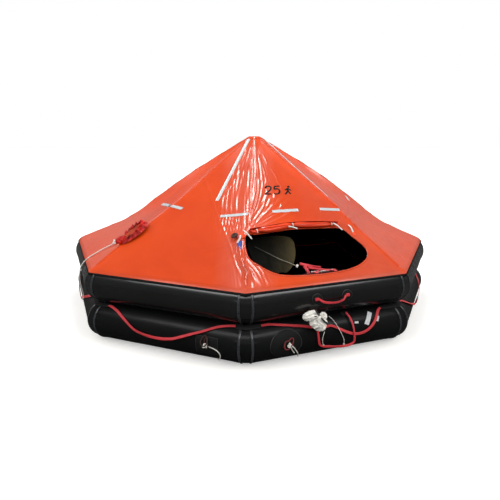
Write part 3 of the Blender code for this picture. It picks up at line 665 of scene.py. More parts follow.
def surface_of(verts, faces):
    return BVHTree.FromPolygons([tuple(map(float, v)) for v in verts],
                                [tuple(map(int, f)) for f in faces])


# ------------------------------------------------------------ buoyancy tubes
def mitre(k, side):
    """A station's middle and the way its section widens, for one mitre plane."""
    n, c = normal(side), corner_dir(k)
    mid = meet(n, APOTHEM, c, GUSSET_APOTHEM)
    return mid, meet(n, 1.0, c, 1.0)


def buoyancy_ring(name, zc, seed, low_side=False):
    around = 112
    ang = np.linspace(0, 2 * math.pi, around, endpoint=False)
    rows = []                       # mid, way, distance to the nearer seam, side, along
    cuts = np.concatenate([[0, .004, .008, .012, .018, .026], np.linspace(.036, .5, 19)])
    cuts = np.concatenate([cuts, 1 - cuts[-2::-1]])
    length = 2 * APOTHEM * math.tan(HALF) - GUSSET
    for k in range(SIDES):
        m0, w0 = mitre(k, (k - 1) % SIDES)
        m1, w1 = mitre(k, k)
        for f in (0, .16, .34, .5, .66, .84):
            rows.append((m0 + (m1 - m0) * f, w0 + (w1 - w0) * f, min(f, 1 - f) * GUSSET, k, -1.0))
        e0, v0 = mitre(k, k)
        e1, v1 = mitre((k + 1) % SIDES, k)
        for f in cuts[:-1]:
            rows.append((e0 + (e1 - e0) * f, v0 + (v1 - v0) * f, min(f, 1 - f) * length, k, f))
    n = len(rows)
    mid = np.array([r[0] for r in rows])[:, None, :]
    way = np.array([r[1] for r in rows])[:, None, :]
    seam = np.array([r[2] for r in rows])[:, None]
    side = np.array([r[3] for r in rows])[:, None]
    frac = np.array([r[4] for r in rows])[:, None]
    a = ang[None, :] + np.zeros((n, 1))
    # gathers run out of each seam and die away along the side
    depth = np.where(frac < 0, 0.35, np.exp(-(seam / 0.055) ** 2))
    gather = 0
    for j, (freq, amp) in enumerate(((17, .5), (29, .35), (43, .22))):
        gather = gather + amp * np.sin(freq * a + 1.7 * side + j * 2.1 + seed
                                       + 14 * np.where(frac < .5, seam, -seam))
    d = 0.0026 * gather * depth - 0.0035 * np.exp(-(seam / 0.020) ** 2)
    d = d + 0.0017 * (seam < 0.010)                     # welt of the seam tape
    pts = mid + way * (TUBE_R * np.cos(a))[..., None]
    pts[..., 2] = zc + TUBE_R * np.sin(a)
    d = d + 0.0016 * fbm(pts * 2.6, 3, seed) + 0.0007 * fbm(pts * 9.0, 2, seed + 5)
    r = TUBE_R - 0.0008 + d
    pts = mid + way * (r * np.cos(a))[..., None]
    pts[..., 2] = zc + r * np.sin(a)
    if low_side:
        pts[..., 2] = np.maximum(pts[..., 2], 0.0)
    faces = grid_faces(around, n, close_u=True, close_v=True)
    obj = piece(name, pts.reshape(-1, 3), faces, M_TUBE_LOW if zc < UPPER_Z else M_TUBE,
                replaces=name.replace("_shell", ""))
    return obj, pts.reshape(-1, 3), faces


lower_obj, lower_v, lower_f = buoyancy_ring("lower_tube_shell", LOWER_Z, 3, True)
upper_obj, upper_v, upper_f = buoyancy_ring("upper_tube_shell", UPPER_Z, 11)

# ---------------------------------------------------------------- the canopy
# Drops of each ridge under a straight line from the hem to the top.
# columns: fraction up the ridge, metres
SIDE_LEFT = [(0, 0), (.114, -.044), (.248, -.096), (.352, -.100), (.448, -.068), (.593, -.030),
             (.758, -.006), (1, 0)]
SIDE_RIGHT = [(0, 0), (.069, -.026), (.143, -.053), (.230, -.079), (.317, -.072), (.375, -.046),
              (.471, -.020), (.585, .008), (.751, .014), (1, 0)]
FRONT_LEFT = [(0, 0), (.18, .004), (.33, -.018), (.467, -.034), (.62, -.022), (.8, -.006), (1, 0)]
FRONT_RIGHT = [(0, 0), (.243, .006), (.365, .020), (.44, .036), (.6, .026), (.8, .010), (1, 0)]
CENTRE = [(0, 0), (.3, -.010), (.5, -.006), (.8, .004), (1, 0)]
RIDGES = {0: CENTRE, 1: FRONT_RIGHT, 2: SIDE_RIGHT, 3: FRONT_LEFT, 4: CENTRE, 5: CENTRE,
          6: SIDE_LEFT, 7: FRONT_LEFT}


def ridge_line(k, t):
    """Points of ridge k at fractions t from the top of the hem to the apex."""
    k = k % SIDES
    t = np.asarray(t, float)
    low = ridge_point(k, APOTHEM + Q_HIGH, Z_HIGH)
    top = corner_dir(k) * APEX_R + np.array((APEX_X, 0, APEX_Z))
    table = spline(RIDGES[k], 8)
    drop = np.interp(t, table[:, 0], table[:, 1])
    return low + (top - low) * t[:, None] + UP * drop[:, None]


def panel_frame(k):
    """Canopy panel k: origin, X along the side, Y up the slope, Z outwards."""
    low = normal(k) * (APOTHEM + Q_HIGH) + UP * Z_HIGH
    top = np.array((APEX_X, 0, APEX_Z)) + normal(k) * APEX_R * math.cos(HALF)
    x = tangent(k)
    up = top - low
    y = unit(up - x * up.dot(x))
    z = unit(np.cross(x, y))
    return low + y * ((Z_LOW - Z_HIGH) / y[2]), x, y, z


def on_panel(k, s, h, lift=0.0):
    o, x, y, z = panel_frame(k)
    return o + x * s + y * h + z * lift


ENTRANCE = [
    (-0.565, 0.690), (-0.630, 0.440), (-0.585, 0.285), (-0.490, 0.190),
    (-0.350, 0.145), (-0.160, 0.128), (0.020, 0.124), (0.180, 0.134),
    (0.330, 0.163), (0.455, 0.215), (0.540, 0.290), (0.566, 0.375),
    (0.550, 0.455), (0.500, 0.560), (0.430, 0.690), (0.250, 0.722),
    (0.060, 0.738), (-0.120, 0.745), (-0.300, 0.728), (-0.450, 0.706),
]
OUTLINE = resample(spline(ENTRANCE, 8, closed=True), 0.010, closed=True)


def inside_outline(s, h, grow=0.0):
    x, y = OUTLINE[:, 0], OUTLINE[:, 1]
    if grow:
        c = OUTLINE.mean(axis=0)
        d = OUTLINE - c
        e = OUTLINE + unit(d) * grow
        x, y = e[:, 0], e[:, 1]
    x2, y2 = np.roll(x, -1), np.roll(y, -1)
    out = np.zeros(s.shape, bool)
    for a, b, c, d in zip(x, y, x2, y2):
        cross = ((b > h) != (d > h)) & (s < (c - a) * (h - b) / (d - b + 1e-15) + a)
        out ^= cross
    return out


# Creases of the front, as lines in the photo's frame.  The cloth hangs from the
# top and is pulled by the left end of the rolled door, so they fan out from
# there and close up again at the top.
# columns: points of the line, half width and height of the crease in mm
TIE_AT = (243.5, 230.0)
TOP_AT = (254.5, 137.5)
FOLD_Y = (137.0, 150.0, 165.0, 180.0, 192.0, 206.0, 218.0, 232.0)
FOLD_X = (255.0, 252.0, 249.5, 247.5, 245.5, 243.0, 241.5, 243.0)
FOLD_W = (3.0, 9.0, 17.0, 24.0, 28.0, 27.0, 20.0, 9.0)
rng = np.random.default_rng(11)
CREASES = []


def crease(points, width, height, fade=(0.12, 0.12)):
    CREASES.append((spline(points, 6), width, height, fade))


# the large ones that can be told apart
crease([(256.5, 138), (254.8, 148), (251.0, 161), (247.2, 178), (245.0, 191), (243.2, 212),
        (243.0, 229)], 2.9, 6.0, (.04, .08))
crease([(251.0, 143), (246.5, 160), (240.5, 180), (236.5, 198), (236.0, 214)], 1.5, 4.3)
crease([(255.5, 141), (256.5, 158), (257.0, 176), (252.5, 200), (245.0, 227)], 1.6, 4.6)
crease([(257.5, 150), (262.0, 168), (263.0, 182), (257.0, 203), (246.0, 227)], 1.4, 4.1)
crease([(259.0, 156), (266.5, 176), (268.5, 190), (262.0, 208), (247.0, 228)], 1.3, 3.8)
crease([(270.0, 185), (275.0, 196), (270.0, 208), (259.0, 220), (247.0, 229)], 1.3, 3.8)
crease([(280.0, 197), (281.5, 206), (272.0, 216), (260.0, 224), (248.0, 229.5)], 1.2, 3.5)
crease([(297.0, 207), (288.0, 213), (274.0, 221), (260.0, 227), (248.0, 230)], 1.2, 3.5)
# short ones beside the top of the long strip, and the line below them
for x, y, n_ in ((233.6, 145.5, 9), (229.0, 149.5, 11), (223.5, 154.0, 14), (218.0, 158.5, 15),
                 (212.5, 163.5, 16), (207.0, 168.5, 14)):
    crease([(x, y), (x - n_ * .27, y + n_ * .5), (x - n_ * .48, y + n_)], 0.9, 2.6)
crease([(202.0, 171), (206.0, 184), (211.0, 198), (215.5, 209)], 0.9, 2.2)
crease([(240.0, 166), (233.0, 182), (230.5, 198), (230.5, 213)], 1.2, 3.5)
crease([(236.0, 176), (228.0, 190), (225.5, 203), (225.8, 213)], 1.1, 3.2)
crease([(231.0, 184), (223.0, 196), (220.5, 206), (220.8, 214)], 1.0, 2.9)
# between the reflective strip and the door
for j in range(9):
    x = 218.5 + 3.0 * j + rng.uniform(-.8, .8)
    crease([(x, 217 + rng.uniform(-1, 2)), (x + rng.uniform(-.5, 1.5), 224), (x + 1.5 + .35 * (243 - x) * .4, 232 + rng.uniform(-2, 4))],
           1.1, rng.uniform(2, 4), (.2, .25))
# the fan above the door, finer
for j in range(30):
    g = j / 29
    top_x = 234 + 36 * g + rng.uniform(-2.5, 2.5)
    top_y = 150 + 34 * abs(g - .38) ** .8 + rng.uniform(-4, 10)
    low_y = 229 - 9 * (g < .35) * rng.uniform(.4, 1.5)
    low_x = TIE_AT[0] + (-20 + 24 * min(1, g / .4) if g < .4 else 4)
    mid_x = (top_x + low_x) / 2 + (5 * (g - .4)) + rng.uniform(-2, 2)
    crease([(top_x, top_y), (mid_x, (top_y + low_y) / 2), (low_x + rng.uniform(-1, 1), low_y)],
           rng.uniform(.8, 1.3), rng.uniform(1.6, 3.6), (.25, .2))
# short ones under the top and along the left silhouette
for x0, y0, x1, y1 in ((223.5, 154, 219, 166), (216, 161, 209, 172), (210, 165, 206, 178),
                       (204, 172, 199, 183), (209, 184, 203, 196), (245, 147, 241, 157),
                       (262, 152, 268, 166), (270, 166, 279, 181), (276, 178, 283, 190)):
    crease([(x0, y0), ((x0 + x1) / 2 + 1, (y0 + y1) / 2), (x1, y1)], 1.2, 3.0, (.3, .3))
# the long fold of the left front panel, down to the front corner
crease([(201.5, 171), (209.0, 190), (215.4, 209.8), (222.5, 228), (230, 246), (238, 268),
        (246, 292)], 1.7, 4, (.15, .05))
# left of the entrance
for pts, w, h in (([(243, 236), (246, 252), (249, 268), (250, 284)], 1.6, 9),
                  ([(240, 236), (242, 250), (246, 266), (248, 284)], 1.2, 6),
                  ([(238, 240), (239, 252), (243, 266), (247, 280)], 1.1, 5),
                  ([(250, 263), (256, 275), (262, 284), (266, 290)], 1.3, 6),
                  ([(247, 268), (252, 279), (254, 290)], 1.2, 7),
                  ([(262, 274), (268, 282), (276, 288)], 1.2, 4),
                  ([(246, 284), (241, 288), (232, 290)], 1.6, 7),
                  ([(243.5, 238), (245, 256), (246.5, 274), (247, 291)], 3.4, 16),
                  ([(206, 250), (220, 247), (236, 241)], 1.8, 3),
                  ([(210, 270), (226, 262), (240, 250)], 1.8, 3)):
    crease(pts, w, h, (.2, .2))
# right of the entrance and over it
for pts, w, h in (([(342, 226), (352, 216), (366, 209)], 1.6, 5),
                  ([(344, 228), (358, 222), (374, 219)], 1.5, 4),
                  ([(342, 222), (347, 208), (352, 196)], 1.6, 5),
                  ([(300, 226), (304, 216), (303, 206)], 1.3, 3),
                  ([(318, 226), (322, 215), (324, 202)], 1.3, 3),
                  ([(366, 262), (378, 266), (390, 268)], 1.5, 4),
                  ([(360, 270), (372, 276), (386, 278)], 1.5, 3)):
    crease(pts, w, h, (.25, .25))


def pleats(a, b, seed, wander=.75):
    """Runs of folds side by side, a crest near each whole number of a, with even
    flanks and about zero on the mean."""
    lane = a + wander * lattice(np.stack([a * .45, b, np.full(a.shape, seed * 2.3)], -1), seed)
    n = lattice(np.stack([lane * .7, b * 1.6, np.full(a.shape, seed * 1.1 + 7)], -1), seed + 1)
    return np.clip(.62 + .85 * n, .06, 1.25) * (.5 - 2 * np.abs(lane - np.round(lane)))


def photo_creases(p):
    """Height in metres of the front's creases at points p."""
    px = project(p)
    x, y = px[:, 0], px[:, 1]
    total = np.zeros(len(p))
    for line, width, height, fade in CREASES:
        lo, hi = line.min(axis=0) - 5 * width, line.max(axis=0) + 5 * width
        near = np.nonzero((x > lo[0]) & (x < hi[0]) & (y > lo[1]) & (y < hi[1]))[0]
        if not len(near):
            continue
        seg = np.diff(line, axis=0)
        length = np.linalg.norm(seg, axis=1)
        start = np.concatenate([[0], np.cumsum(length)])
        best = np.full(len(near), 1e9)
        where = np.zeros(len(near))
        for a, s, ln, st in zip(line[:-1], seg, length, start):
            rx, ry = x[near] - a[0], y[near] - a[1]
            t = np.clip((rx * s[0] + ry * s[1]) / ln ** 2, 0, 1)
            d2 = (rx - t * s[0]) ** 2 + (ry - t * s[1]) ** 2
            closer = d2 < best
            best = np.where(closer, d2, best)
            where = np.where(closer, (st + t * ln) / start[-1], where)
        taper = smoothstep(0, fade[0], where) * smoothstep(0, fade[1], 1 - where)
        q = best / width ** 2
        total[near] += height / 1000 * taper * (np.exp(-q * 1.2) - 0.42 * np.exp(-q / 3.2))
    # dense folds: upright ones that gather at the tie and under the top, with finer
    # ones between them; then a fan to the right of the tie, and those left of the
    # entrance
    middle = np.interp(y, FOLD_Y, FOLD_X)
    half = np.interp(y, FOLD_Y, FOLD_W)
    u = (x - middle) / half
    m1 = smoothstep(1.06, .80, np.abs(u)) * smoothstep(139, 150, y) * smoothstep(234, 227, y)
    size = half / 28.0
    # upright ones under the long reflective strip
    edge = np.where(y < 201, 249 - .516 * (y - 139), 217.0)
    m6 = smoothstep(1, 6, x - edge) * smoothstep(250, 243, x) * smoothstep(156, 168, y) \
        * smoothstep(217, 211, y)
    total += .0056 * m6 * pleats(x * .215 + y * .012, y * .006, 41, .38)
    m1 = m1 * (1 - .75 * m6)
    total += .0064 * size * m1 * pleats(u * 6.2, y * .009, 5, .50)
    total += .0010 * size * m1 * pleats(u * 12.6 + .4, y * .017, 9)
    dx, dy = x - TIE_AT[0], TIE_AT[1] - y
    rho, phi = np.hypot(dx, dy), np.degrees(np.arctan2(dy, dx))
    m2 = smoothstep(3, 14, rho) * smoothstep(64, 34, rho) * smoothstep(8, 26, phi) \
        * smoothstep(72, 58, phi)
    total += .0056 * m2 * np.clip(rho / 32, .25, 1.1) * pleats(np.radians(phi) * 7.0, rho * .014, 17)
    low = np.clip(y - 258, 0, 34)
    m3 = smoothstep(230, 236, x) * smoothstep(262, 253, x - .75 * low) * smoothstep(233, 241, y) \
        * smoothstep(295, 289, y)
    total += .0052 * m3 * pleats((x - .12 * (y - 235) - .30 * low * smoothstep(244, 262, x)) * .23,
                                 y * .012, 23)
    total += .0016 * m3 * pleats((x - .10 * (y - 235) - .34 * low * smoothstep(244, 262, x)) * .47,
                                 y * .020, 31)
    m4 = smoothstep(211, 218, x) * smoothstep(250, 243, x) * smoothstep(213, 218, y) \
        * smoothstep(238, 230, y)
    total += .0032 * m4 * pleats((x + .25 * (y - 225)) * .34, y * .026, 29)
    m5 = smoothstep(248, 262, x) * smoothstep(352, 338, x) * smoothstep(204, 211, y) \
        * smoothstep(227, 223, y)
    total += .0026 * m5 * pleats(x * .085 + y * .09, y * .02, 37)
    return total


def cloth_waves(p, k, u, v):
    """Slack of the other panels: folds that run up from the hem and down from the
    top, pulls at the corners, and a long soft swell."""
    amp = 0.010 * np.sin(math.pi * u) ** .6 * np.sin(math.pi * np.clip(v, 0, 1)) ** .6
    w = amp * fbm(np.stack([u * 3.0 + k * 5.1, v * 2.2, np.full_like(u, .5 + k)], -1), 2, 40 + k)
    spread = (u - .5) * (1 - v * .9)
    fold = np.sin(38 * spread + 5 * fbm(np.stack([spread * 4, v * 2 + k, u * 0 + k], -1), 2, 7 + k))
    near_top = smoothstep(.55, .95, v) * smoothstep(1.02, .9, v)
    near_hem = smoothstep(.22, .02, v)
    w = w + .0022 * fold * near_top
    w = w + .0020 * np.sin(u * 60 + 3 * np.sin(u * 17 + k)) * near_hem * smoothstep(-.02, .03, v)
    edge = np.minimum(u, 1 - u) * (1 - v * .8)
    pull = np.sin(v * 46 + 4 * fbm(np.stack([v * 3, u * 2, u * 0 + k * 2.0], -1), 2, 21 + k))
    w = w + .0024 * pull * np.exp(-(edge / .07) ** 2) * smoothstep(.04, .2, v) * smoothstep(.98, .8, v)
    return w


def canopy_panel(k, us, vs, inner=0.0, creased=True):
    """Points of panel k over the grid us x vs; v runs from -1 at the hem's lower
    edge to 0 where the cloth leaves the tube, and to 1 at the top."""
    nv, nu = len(vs), len(us)
    rows = np.zeros((nv, nu, 3))
    on = vs >= 0
    a, b = ridge_line(k, vs[on]), ridge_line(k + 1, vs[on])
    rows[on] = a[:, None, :] + (b - a)[:, None, :] * us[None, :, None]
    psi = np.radians(HEM_HIGH + (HEM_HIGH - HEM_LOW) * vs[~on])
    rad = HEM_R - 0.0045 * smoothstep(0, -1, vs[~on])
    for row, ps, r in zip(np.nonzero(~on)[0], psi, rad):
        q, z = r * math.cos(ps), UPPER_Z + r * math.sin(ps)
        p0, p1 = ridge_point(k, APOTHEM + q, z), ridge_point((k + 1) % SIDES, APOTHEM + q, z)
        rows[row] = p0[None, :] + (p1 - p0)[None, :] * us[:, None]
    pts = rows.reshape(-1, 3)
    uu = np.tile(us, nv)
    vv = np.repeat(vs, nu)
    _, _, _, out = panel_frame(k)
    # a soft sag between the ridges, deepest low down
    sag = .016 * np.sin(math.pi * uu) * np.sin(math.pi * np.clip(vv, 0, 1)) ** .7
    h = -sag
    if creased:
        quiet = {7: .25, 0: .45, 6: .8, 1: .7}.get(k, 1.6)
        h = h + cloth_waves(pts, k, uu, vv) * quiet
        if k in (6, 7, 0, 1):
            h = h + photo_creases(pts) * smoothstep(-.15, .06, vv)
    h = h * smoothstep(-.5, .05, vv)
    return pts + out[None, :] * (h - inner)[:, None], uu, vv


def weld(verts, faces, dist=0.0004):
    """Merges points of neighbouring panels that lie together."""
    key = np.round(verts / dist).astype(np.int64)
    _, first, back = np.unique(key, axis=0, return_index=True, return_inverse=True)
    back = back.reshape(-1)
    faces = [tuple(dict.fromkeys(int(back[i]) for i in f)) for f in faces]
    return verts[first], [f for f in faces if len(f) > 2], first


V_UP = np.concatenate([np.linspace(-1, 0, 8)[:-1], np.linspace(0, .06, 10)[:-1],
                       np.linspace(.06, 1, 196)])
U_PLAIN = np.linspace(0, 1, 20)
U_FRONT = {7: np.concatenate([np.linspace(0, .55, 34)[:-1], np.linspace(.55, 1, 92)]),
           0: np.concatenate([np.linspace(0, .48, 96)[:-1], np.linspace(.48, 1, 44)])}


def hole_cut(k, pts, us, vs, faces):
    """Cuts the entrance into a panel's grid and snaps its rim to the outline."""
    o, x, y, z = panel_frame(k)
    rel = pts - o
    s, h = rel @ x, rel @ y
    gone = inside_outline(s, h)
    nu, nv = len(us), len(vs)
    g = gone.reshape(nv, nu)
    near = np.zeros_like(g)
    for dj, di in ((0, 1), (0, -1), (1, 0), (-1, 0), (1, 1), (-1, -1), (1, -1), (-1, 1)):
        near |= ~np.roll(np.roll(g, dj, 0), di, 1)
    snap = np.nonzero((g & near).ravel())[0]
    for i in snap:
        d = (OUTLINE[:, 0] - s[i]) ** 2 + (OUTLINE[:, 1] - h[i]) ** 2
        j = int(d.argmin())
        pts[i] = pts[i] + x * (OUTLINE[j, 0] - s[i]) + y * (OUTLINE[j, 1] - h[i])
    rim = np.zeros(len(pts), bool)
    rim[snap] = True
    dead = gone & ~rim
    kept = []
    for f in faces:
        idx = np.asarray(f)
        if dead[idx].any():
            continue
        if rim[idx].all():
            c = pts[idx].mean(axis=0) - o
            if inside_outline(np.array([c @ x]), np.array([c @ y]))[0]:
                continue
        kept.append(tuple(idx))
    return pts, kept


def build_canopy(inner=0.0, creased=True, plain=False):
    all_v, all_f, off = [], [], 0
    vs = np.concatenate([[-1, -.5], np.linspace(0, 1, 60)]) if plain else V_UP
    for k in range(SIDES):
        us = np.linspace(0, 1, 41) if plain else U_FRONT.get(k, U_PLAIN)
        if k in (4,) and not plain:
            us = np.linspace(0, 1, 64)
        if plain and k in (0, 4):
            us = np.linspace(0, 1, 81)
        pts, uu, vv = canopy_panel(k, us, vs, inner, creased)
        faces = [tuple(f) for f in grid_faces(len(us), len(vs))]
        if k in (0, 4):
            pts, faces = hole_cut(k, pts, us, vs, faces)
        all_v.append(pts)
        all_f += [tuple(i + off for i in f) for f in faces]
        off += len(pts)
    return np.vstack(all_v), all_f


def match_ridges(verts, faces):
    """Drops points that no face uses."""
    used = np.zeros(len(verts), bool)
    for f in faces:
        used[list(f)] = True
    new = np.cumsum(used) - 1
    return verts[used], [tuple(int(new[i]) for i in f) for f in faces]


skin_v, skin_f = build_canopy()
skin_v, skin_f, _ = weld(skin_v, skin_f)
skin_v, skin_f = match_ridges(skin_v, skin_f)
canopy_skin = piece("canopy_skin", skin_v, skin_f, M_CANOPY,
                    replaces=["canopy_panel_%d" % k for k in range(SIDES)] + ["canopy_top"])
SKIN = surface_of(skin_v, skin_f)
print("canopy tris", sum(len(f) - 2 for f in skin_f))

# ------------------------------------------------------- laying things on cloth
def panel_at(p):
    """The canopy panel under a point, from its angle round the top."""
    a = math.atan2(p[0] - APEX_X * smooth_mix(p), -p[1]) % (2 * math.pi)
    return int(a / (2 * HALF)) % SIDES


def smooth_mix(p):
    return min(max(1 - math.hypot(p[0], p[1]) / 2.1, 0), 1)


def cast(px, py, tree):
    """Where the line of sight through a place in the photo's frame meets a surface."""
    hit = tree.ray_cast(Vector(CAM), Vector(sight(px, py)))
    return None if hit[0] is None else np.array(hit[0])


def cast_line(points, tree, step=0.8, per=6):
    line = resample(spline(points, per), step) if len(points) > 2 else resample(points, step)
    out = [cast(x, y, tree) for x, y in line]
    return np.array([p for p in out if p is not None])


def press(points, normals, tree, reach=0.09):
    """Moves points along their normals on to a surface."""
    out = np.array(points, float)
    for i, (p, n) in enumerate(zip(out, normals)):
        hit = tree.ray_cast(Vector(p + n * reach), Vector(-n), 2 * reach)
        if hit[0] is not None:
            out[i] = hit[0]
    return out


def skin_strip(points, width, tree, out, across=4, thick=0.0012, lift=0.0006, closed=False,
               taper=None):
    """A thin strip laid on a surface along a line; out is the way it faces."""
    pts = np.asarray(points, float)
    n = len(pts)
    outs = np.broadcast_to(np.asarray(out, float), (n, 3))
    t, side, up = frames_along(pts, outs, closed)
    width = np.broadcast_to(np.asarray(width, float), (n,))
    d = np.concatenate([[0], np.cumsum(np.linalg.norm(np.diff(pts, axis=0), axis=1))])
    xs = np.linspace(-.5, .5, across + 1)
    m = across + 1
    top = np.zeros((n, m, 3))
    uv = np.zeros((n, m, 2))
    for j, x in enumerate(xs):
        row = press(pts + side * (x * width)[:, None], up, tree)
        top[:, j] = row
        uv[:, j, 0], uv[:, j, 1] = d, x * width
    ups = np.repeat(up[:, None, :], m, axis=1)
    low = (top - ups * 0.0012).reshape(-1, 3)
    high = (top + ups * (lift + thick)).reshape(-1, 3)
    verts = np.vstack([high, low])
    faces = [tuple(f) for f in grid_faces(m, n, close_v=closed, flip=True)]
    faces += [tuple(f) for f in grid_faces(m, n, close_v=closed, offset=n * m)]
    rng_rows = range(n if closed else n - 1)
    for r in rng_rows:
        a, b = r * m, ((r + 1) % n) * m
        faces.append((a, b, b + n * m, a + n * m))
        a, b = r * m + m - 1, ((r + 1) % n) * m + m - 1
        faces.append((a, a + n * m, b + n * m, b))
    if not closed:
        for c in range(m - 1):
            faces.append((c, c + n * m, c + 1 + n * m, c + 1))
            e = (n - 1) * m + c
            faces.append((e, e + 1, e + 1 + n * m, e + n * m))
    return verts, faces, np.vstack([uv.reshape(-1, 2)] * 2)


def mat_stitched(name, dark, light, lines, thread=(0.30, 0.022, 0.008), gap=0.007, rough=0.42,
                 coat=0.8):
    """Tape with rows of stitches: UV is metres along and across, lines the rows."""
    mat, nt, bsdf = new_material(name)
    uv = uv_coord(nt)
    sep = node(nt, 'ShaderNodeSeparateXYZ', None, i0=uv)
    u, v = sep.outputs[0], sep.outputs[1]
    dash = math_node(nt, 'GREATER_THAN',
                     math_node(nt, 'SINE', math_node(nt, 'MULTIPLY', u, 2 * math.pi / gap)), -0.35)
    rows = None
    for at in lines:
        near = math_node(nt, 'LESS_THAN',
                         math_node(nt, 'ABSOLUTE', math_node(nt, 'SUBTRACT', v, at)), 0.0008)
        rows = near if rows is None else math_node(nt, 'MAXIMUM', rows, near)
    stitch = math_node(nt, 'MULTIPLY', dash, rows)
    tone = noise_node(nt, object_coord(nt), 5.0, 4.0, 0.6)
    base = ramp(nt, tone, [(0.3, dark), (0.7, light)])
    nt.links.new(mix_colour(nt, stitch, base, thread), bsdf.inputs["Base Color"])
    rn = noise_node(nt, object_coord(nt), 30.0, 3.0, 0.6)
    nt.links.new(grey(nt, rn, [(0.25, rough - .06), (0.75, rough + .08)]), bsdf.inputs["Roughness"])
    bsdf.inputs["Coat Weight"].default_value = coat
    bsdf.inputs["Coat Roughness"].default_value = 0.15
    bsdf.inputs["Specular IOR Level"].default_value = 0.08
    pucker = noise_node(nt, uv, 60.0, 2.0, 0.5, stretch=(1.0, 0.25, 1.0))
    bump_chain(nt, bsdf, [(pucker, 0.3, 0.002), (rows, -0.4, 0.0006), (stitch, 0.6, 0.0008)])
    return mat


M_SEAM = mat_stitched("seam_tape_look", ORANGE_D, ORANGE_L, (-0.010, 0.010))
M_BIND = mat_stitched("binding_look", (0.62, 0.050, 0.012), (0.74, 0.085, 0.022), (-0.0045, 0.0045))
M_HEM = mat_stitched("hem_tape_look", (0.004, 0.0045, 0.005), (0.012, 0.013, 0.014), (0.0,),
                     thread=(0.03, 0.03, 0.03), rough=0.5, coat=0.0)

# lining under the outer cloth
line_v, line_f = build_canopy(inner=0.007, creased=False, plain=True)
line_v, line_f, _ = weld(line_v, line_f)
line_v, line_f = match_ridges(line_v, line_f)
lining = piece("canopy_lining", line_v, line_f, M_LINING)
# the lining hangs clear of the skin on the rear panel beside the top
for vert in lining.data.vertices:
    away = math.hypot(vert.co.x - 0.22, vert.co.y - 0.42) / 0.32
    if away < 1 and vert.co.z > 1.3:
        vert.co.z -= 0.022 * (1 - away * away) ** 2

# a small round top patch
top_pts, top_f = [], []
ring_n, ring_m = 32, 7
for j in range(ring_m + 1):
    r = 0.105 * j / ring_m
    for i in range(ring_n):
        a = 2 * math.pi * i / ring_n
        x, y = APEX_X + r * math.cos(a), r * math.sin(a)
        hit = SKIN.ray_cast(Vector((x, y, 2.3)), Vector((0, 0, -1)))
        z = hit[0].z if hit[0] is not None else APEX_Z + .001
        z = min(z, APEX_Z + .002)
        top_pts.append((x, y, z))
top_pts = np.array(top_pts)
flat_z = APEX_Z + 0.0035 - 0.0012 * np.repeat(np.arange(ring_m + 1), ring_n) ** 1.2 * .3
top_pts[:, 2] = np.where(np.repeat(np.arange(ring_m + 1), ring_n) < 4, flat_z, top_pts[:, 2] + .0022)
low_pts = top_pts - np.array((0, 0, .0032))
faces = [tuple(f) for f in grid_faces(ring_n, ring_m + 1, close_u=True, flip=True)][ring_n:]
faces.append(tuple(range(ring_n, 2 * ring_n)))
skirt = [((ring_m) * ring_n + i, (ring_m) * ring_n + (i + 1) % ring_n,
          len(top_pts) + ring_m * ring_n + (i + 1) % ring_n, len(top_pts) + ring_m * ring_n + i)
         for i in range(ring_n)]
piece("canopy_top_patch", np.vstack([top_pts, low_pts]), faces + skirt, M_CANOPY)

# seam tapes on the eight ridges
for k in range(SIDES):
    pts = ridge_line(k, np.linspace(0.012, 0.985, 150))
    out = unit(corner_dir(k) * 0.55 + UP)
    v, f, uv = skin_strip(pts, 0.030, SKIN, out, across=4, thick=0.0010)
    piece("ridge_seam_%d" % k, v, f, M_SEAM, uvs=uv)

# black hem tape round the foot of the canopy
hem_ps = [35.2, 36.0, 38.0, 40.2, 41.4, 41.6, 40.4, 38.0, 36.0]
hem_r = [.1903, .1930, .1952, .1992, .2003, .1975, .1955, .1925, .1905]
ring = []
stations = 26
for k in range(SIDES):
    for i in range(stations):
        f = i / stations
        row = []
        for ps, r in zip(hem_ps, hem_r):
            q, z = r * math.cos(math.radians(ps)), UPPER_Z + r * math.sin(math.radians(ps))
            a, b = ridge_point(k, APOTHEM + q, z), ridge_point((k + 1) % SIDES, APOTHEM + q, z)
            row.append(a + (b - a) * f)
        ring.append(row)
ring = np.array(ring)
m = len(hem_ps)
uv = np.zeros((len(ring), m, 2))
uv[..., 0] = (np.arange(len(ring)) * 1.6 / stations)[:, None]
uv[..., 1] = np.linspace(-.008, .02, m)[None, :]
piece("canopy_hem_tape", ring.reshape(-1, 3),
      grid_faces(m, len(ring), close_u=True, close_v=True, flip=True), M_HEM,
      uvs=uv.reshape(-1, 2))


# binding round each entrance
def rim_line(k):
    pts = np.array([on_panel(k, s, h) for s, h in resample(OUTLINE, 0.014, closed=True)])
    _, _, _, out = panel_frame(k)
    got = []
    for p in pts:
        near = SKIN.find_nearest(Vector(p))
        d = float(np.dot(np.array(near[0]) - p, out)) if near[0] is not None else 0.0
        got.append(p + out * d)
    got = np.array(got)
    for _ in range(2):
        got = (np.roll(got, 1, 0) + 2 * got + np.roll(got, -1, 0)) / 4
    return got, out


for k, tag in ((0, "front"), (4, "rear")):
    line, out = rim_line(k)
    ups = np.broadcast_to(out, line.shape)
    v, f, uv = ribbon_mesh(line + out * 0.0005, ups, 0.016, 0.0055, across=6, closed=True,
                           crown=0.35, edge=0.7)
    piece(tag + "_entrance_binding", v, f, M_BIND, uvs=uv)

# --------------------------------------------------- strips, number and figure
LOW, _, _, _ = panel_frame(0)


def decal_strip(name, points, width, mat, across=3, thick=0.0012, out=None, tree=None,
                step=0.8, lift=0.0006):
    """A strip placed by its line in the photo's frame; width in metres."""
    pts = cast_line(points, tree or SKIN, step)
    k = panel_at(pts[len(pts) // 2])
    o = panel_frame(k)[3] if out is None else out
    v, f, uv = skin_strip(pts, width, tree or SKIN, o, across=across, thick=thick, lift=lift)
    return piece(name, v, f, mat, uvs=uv)


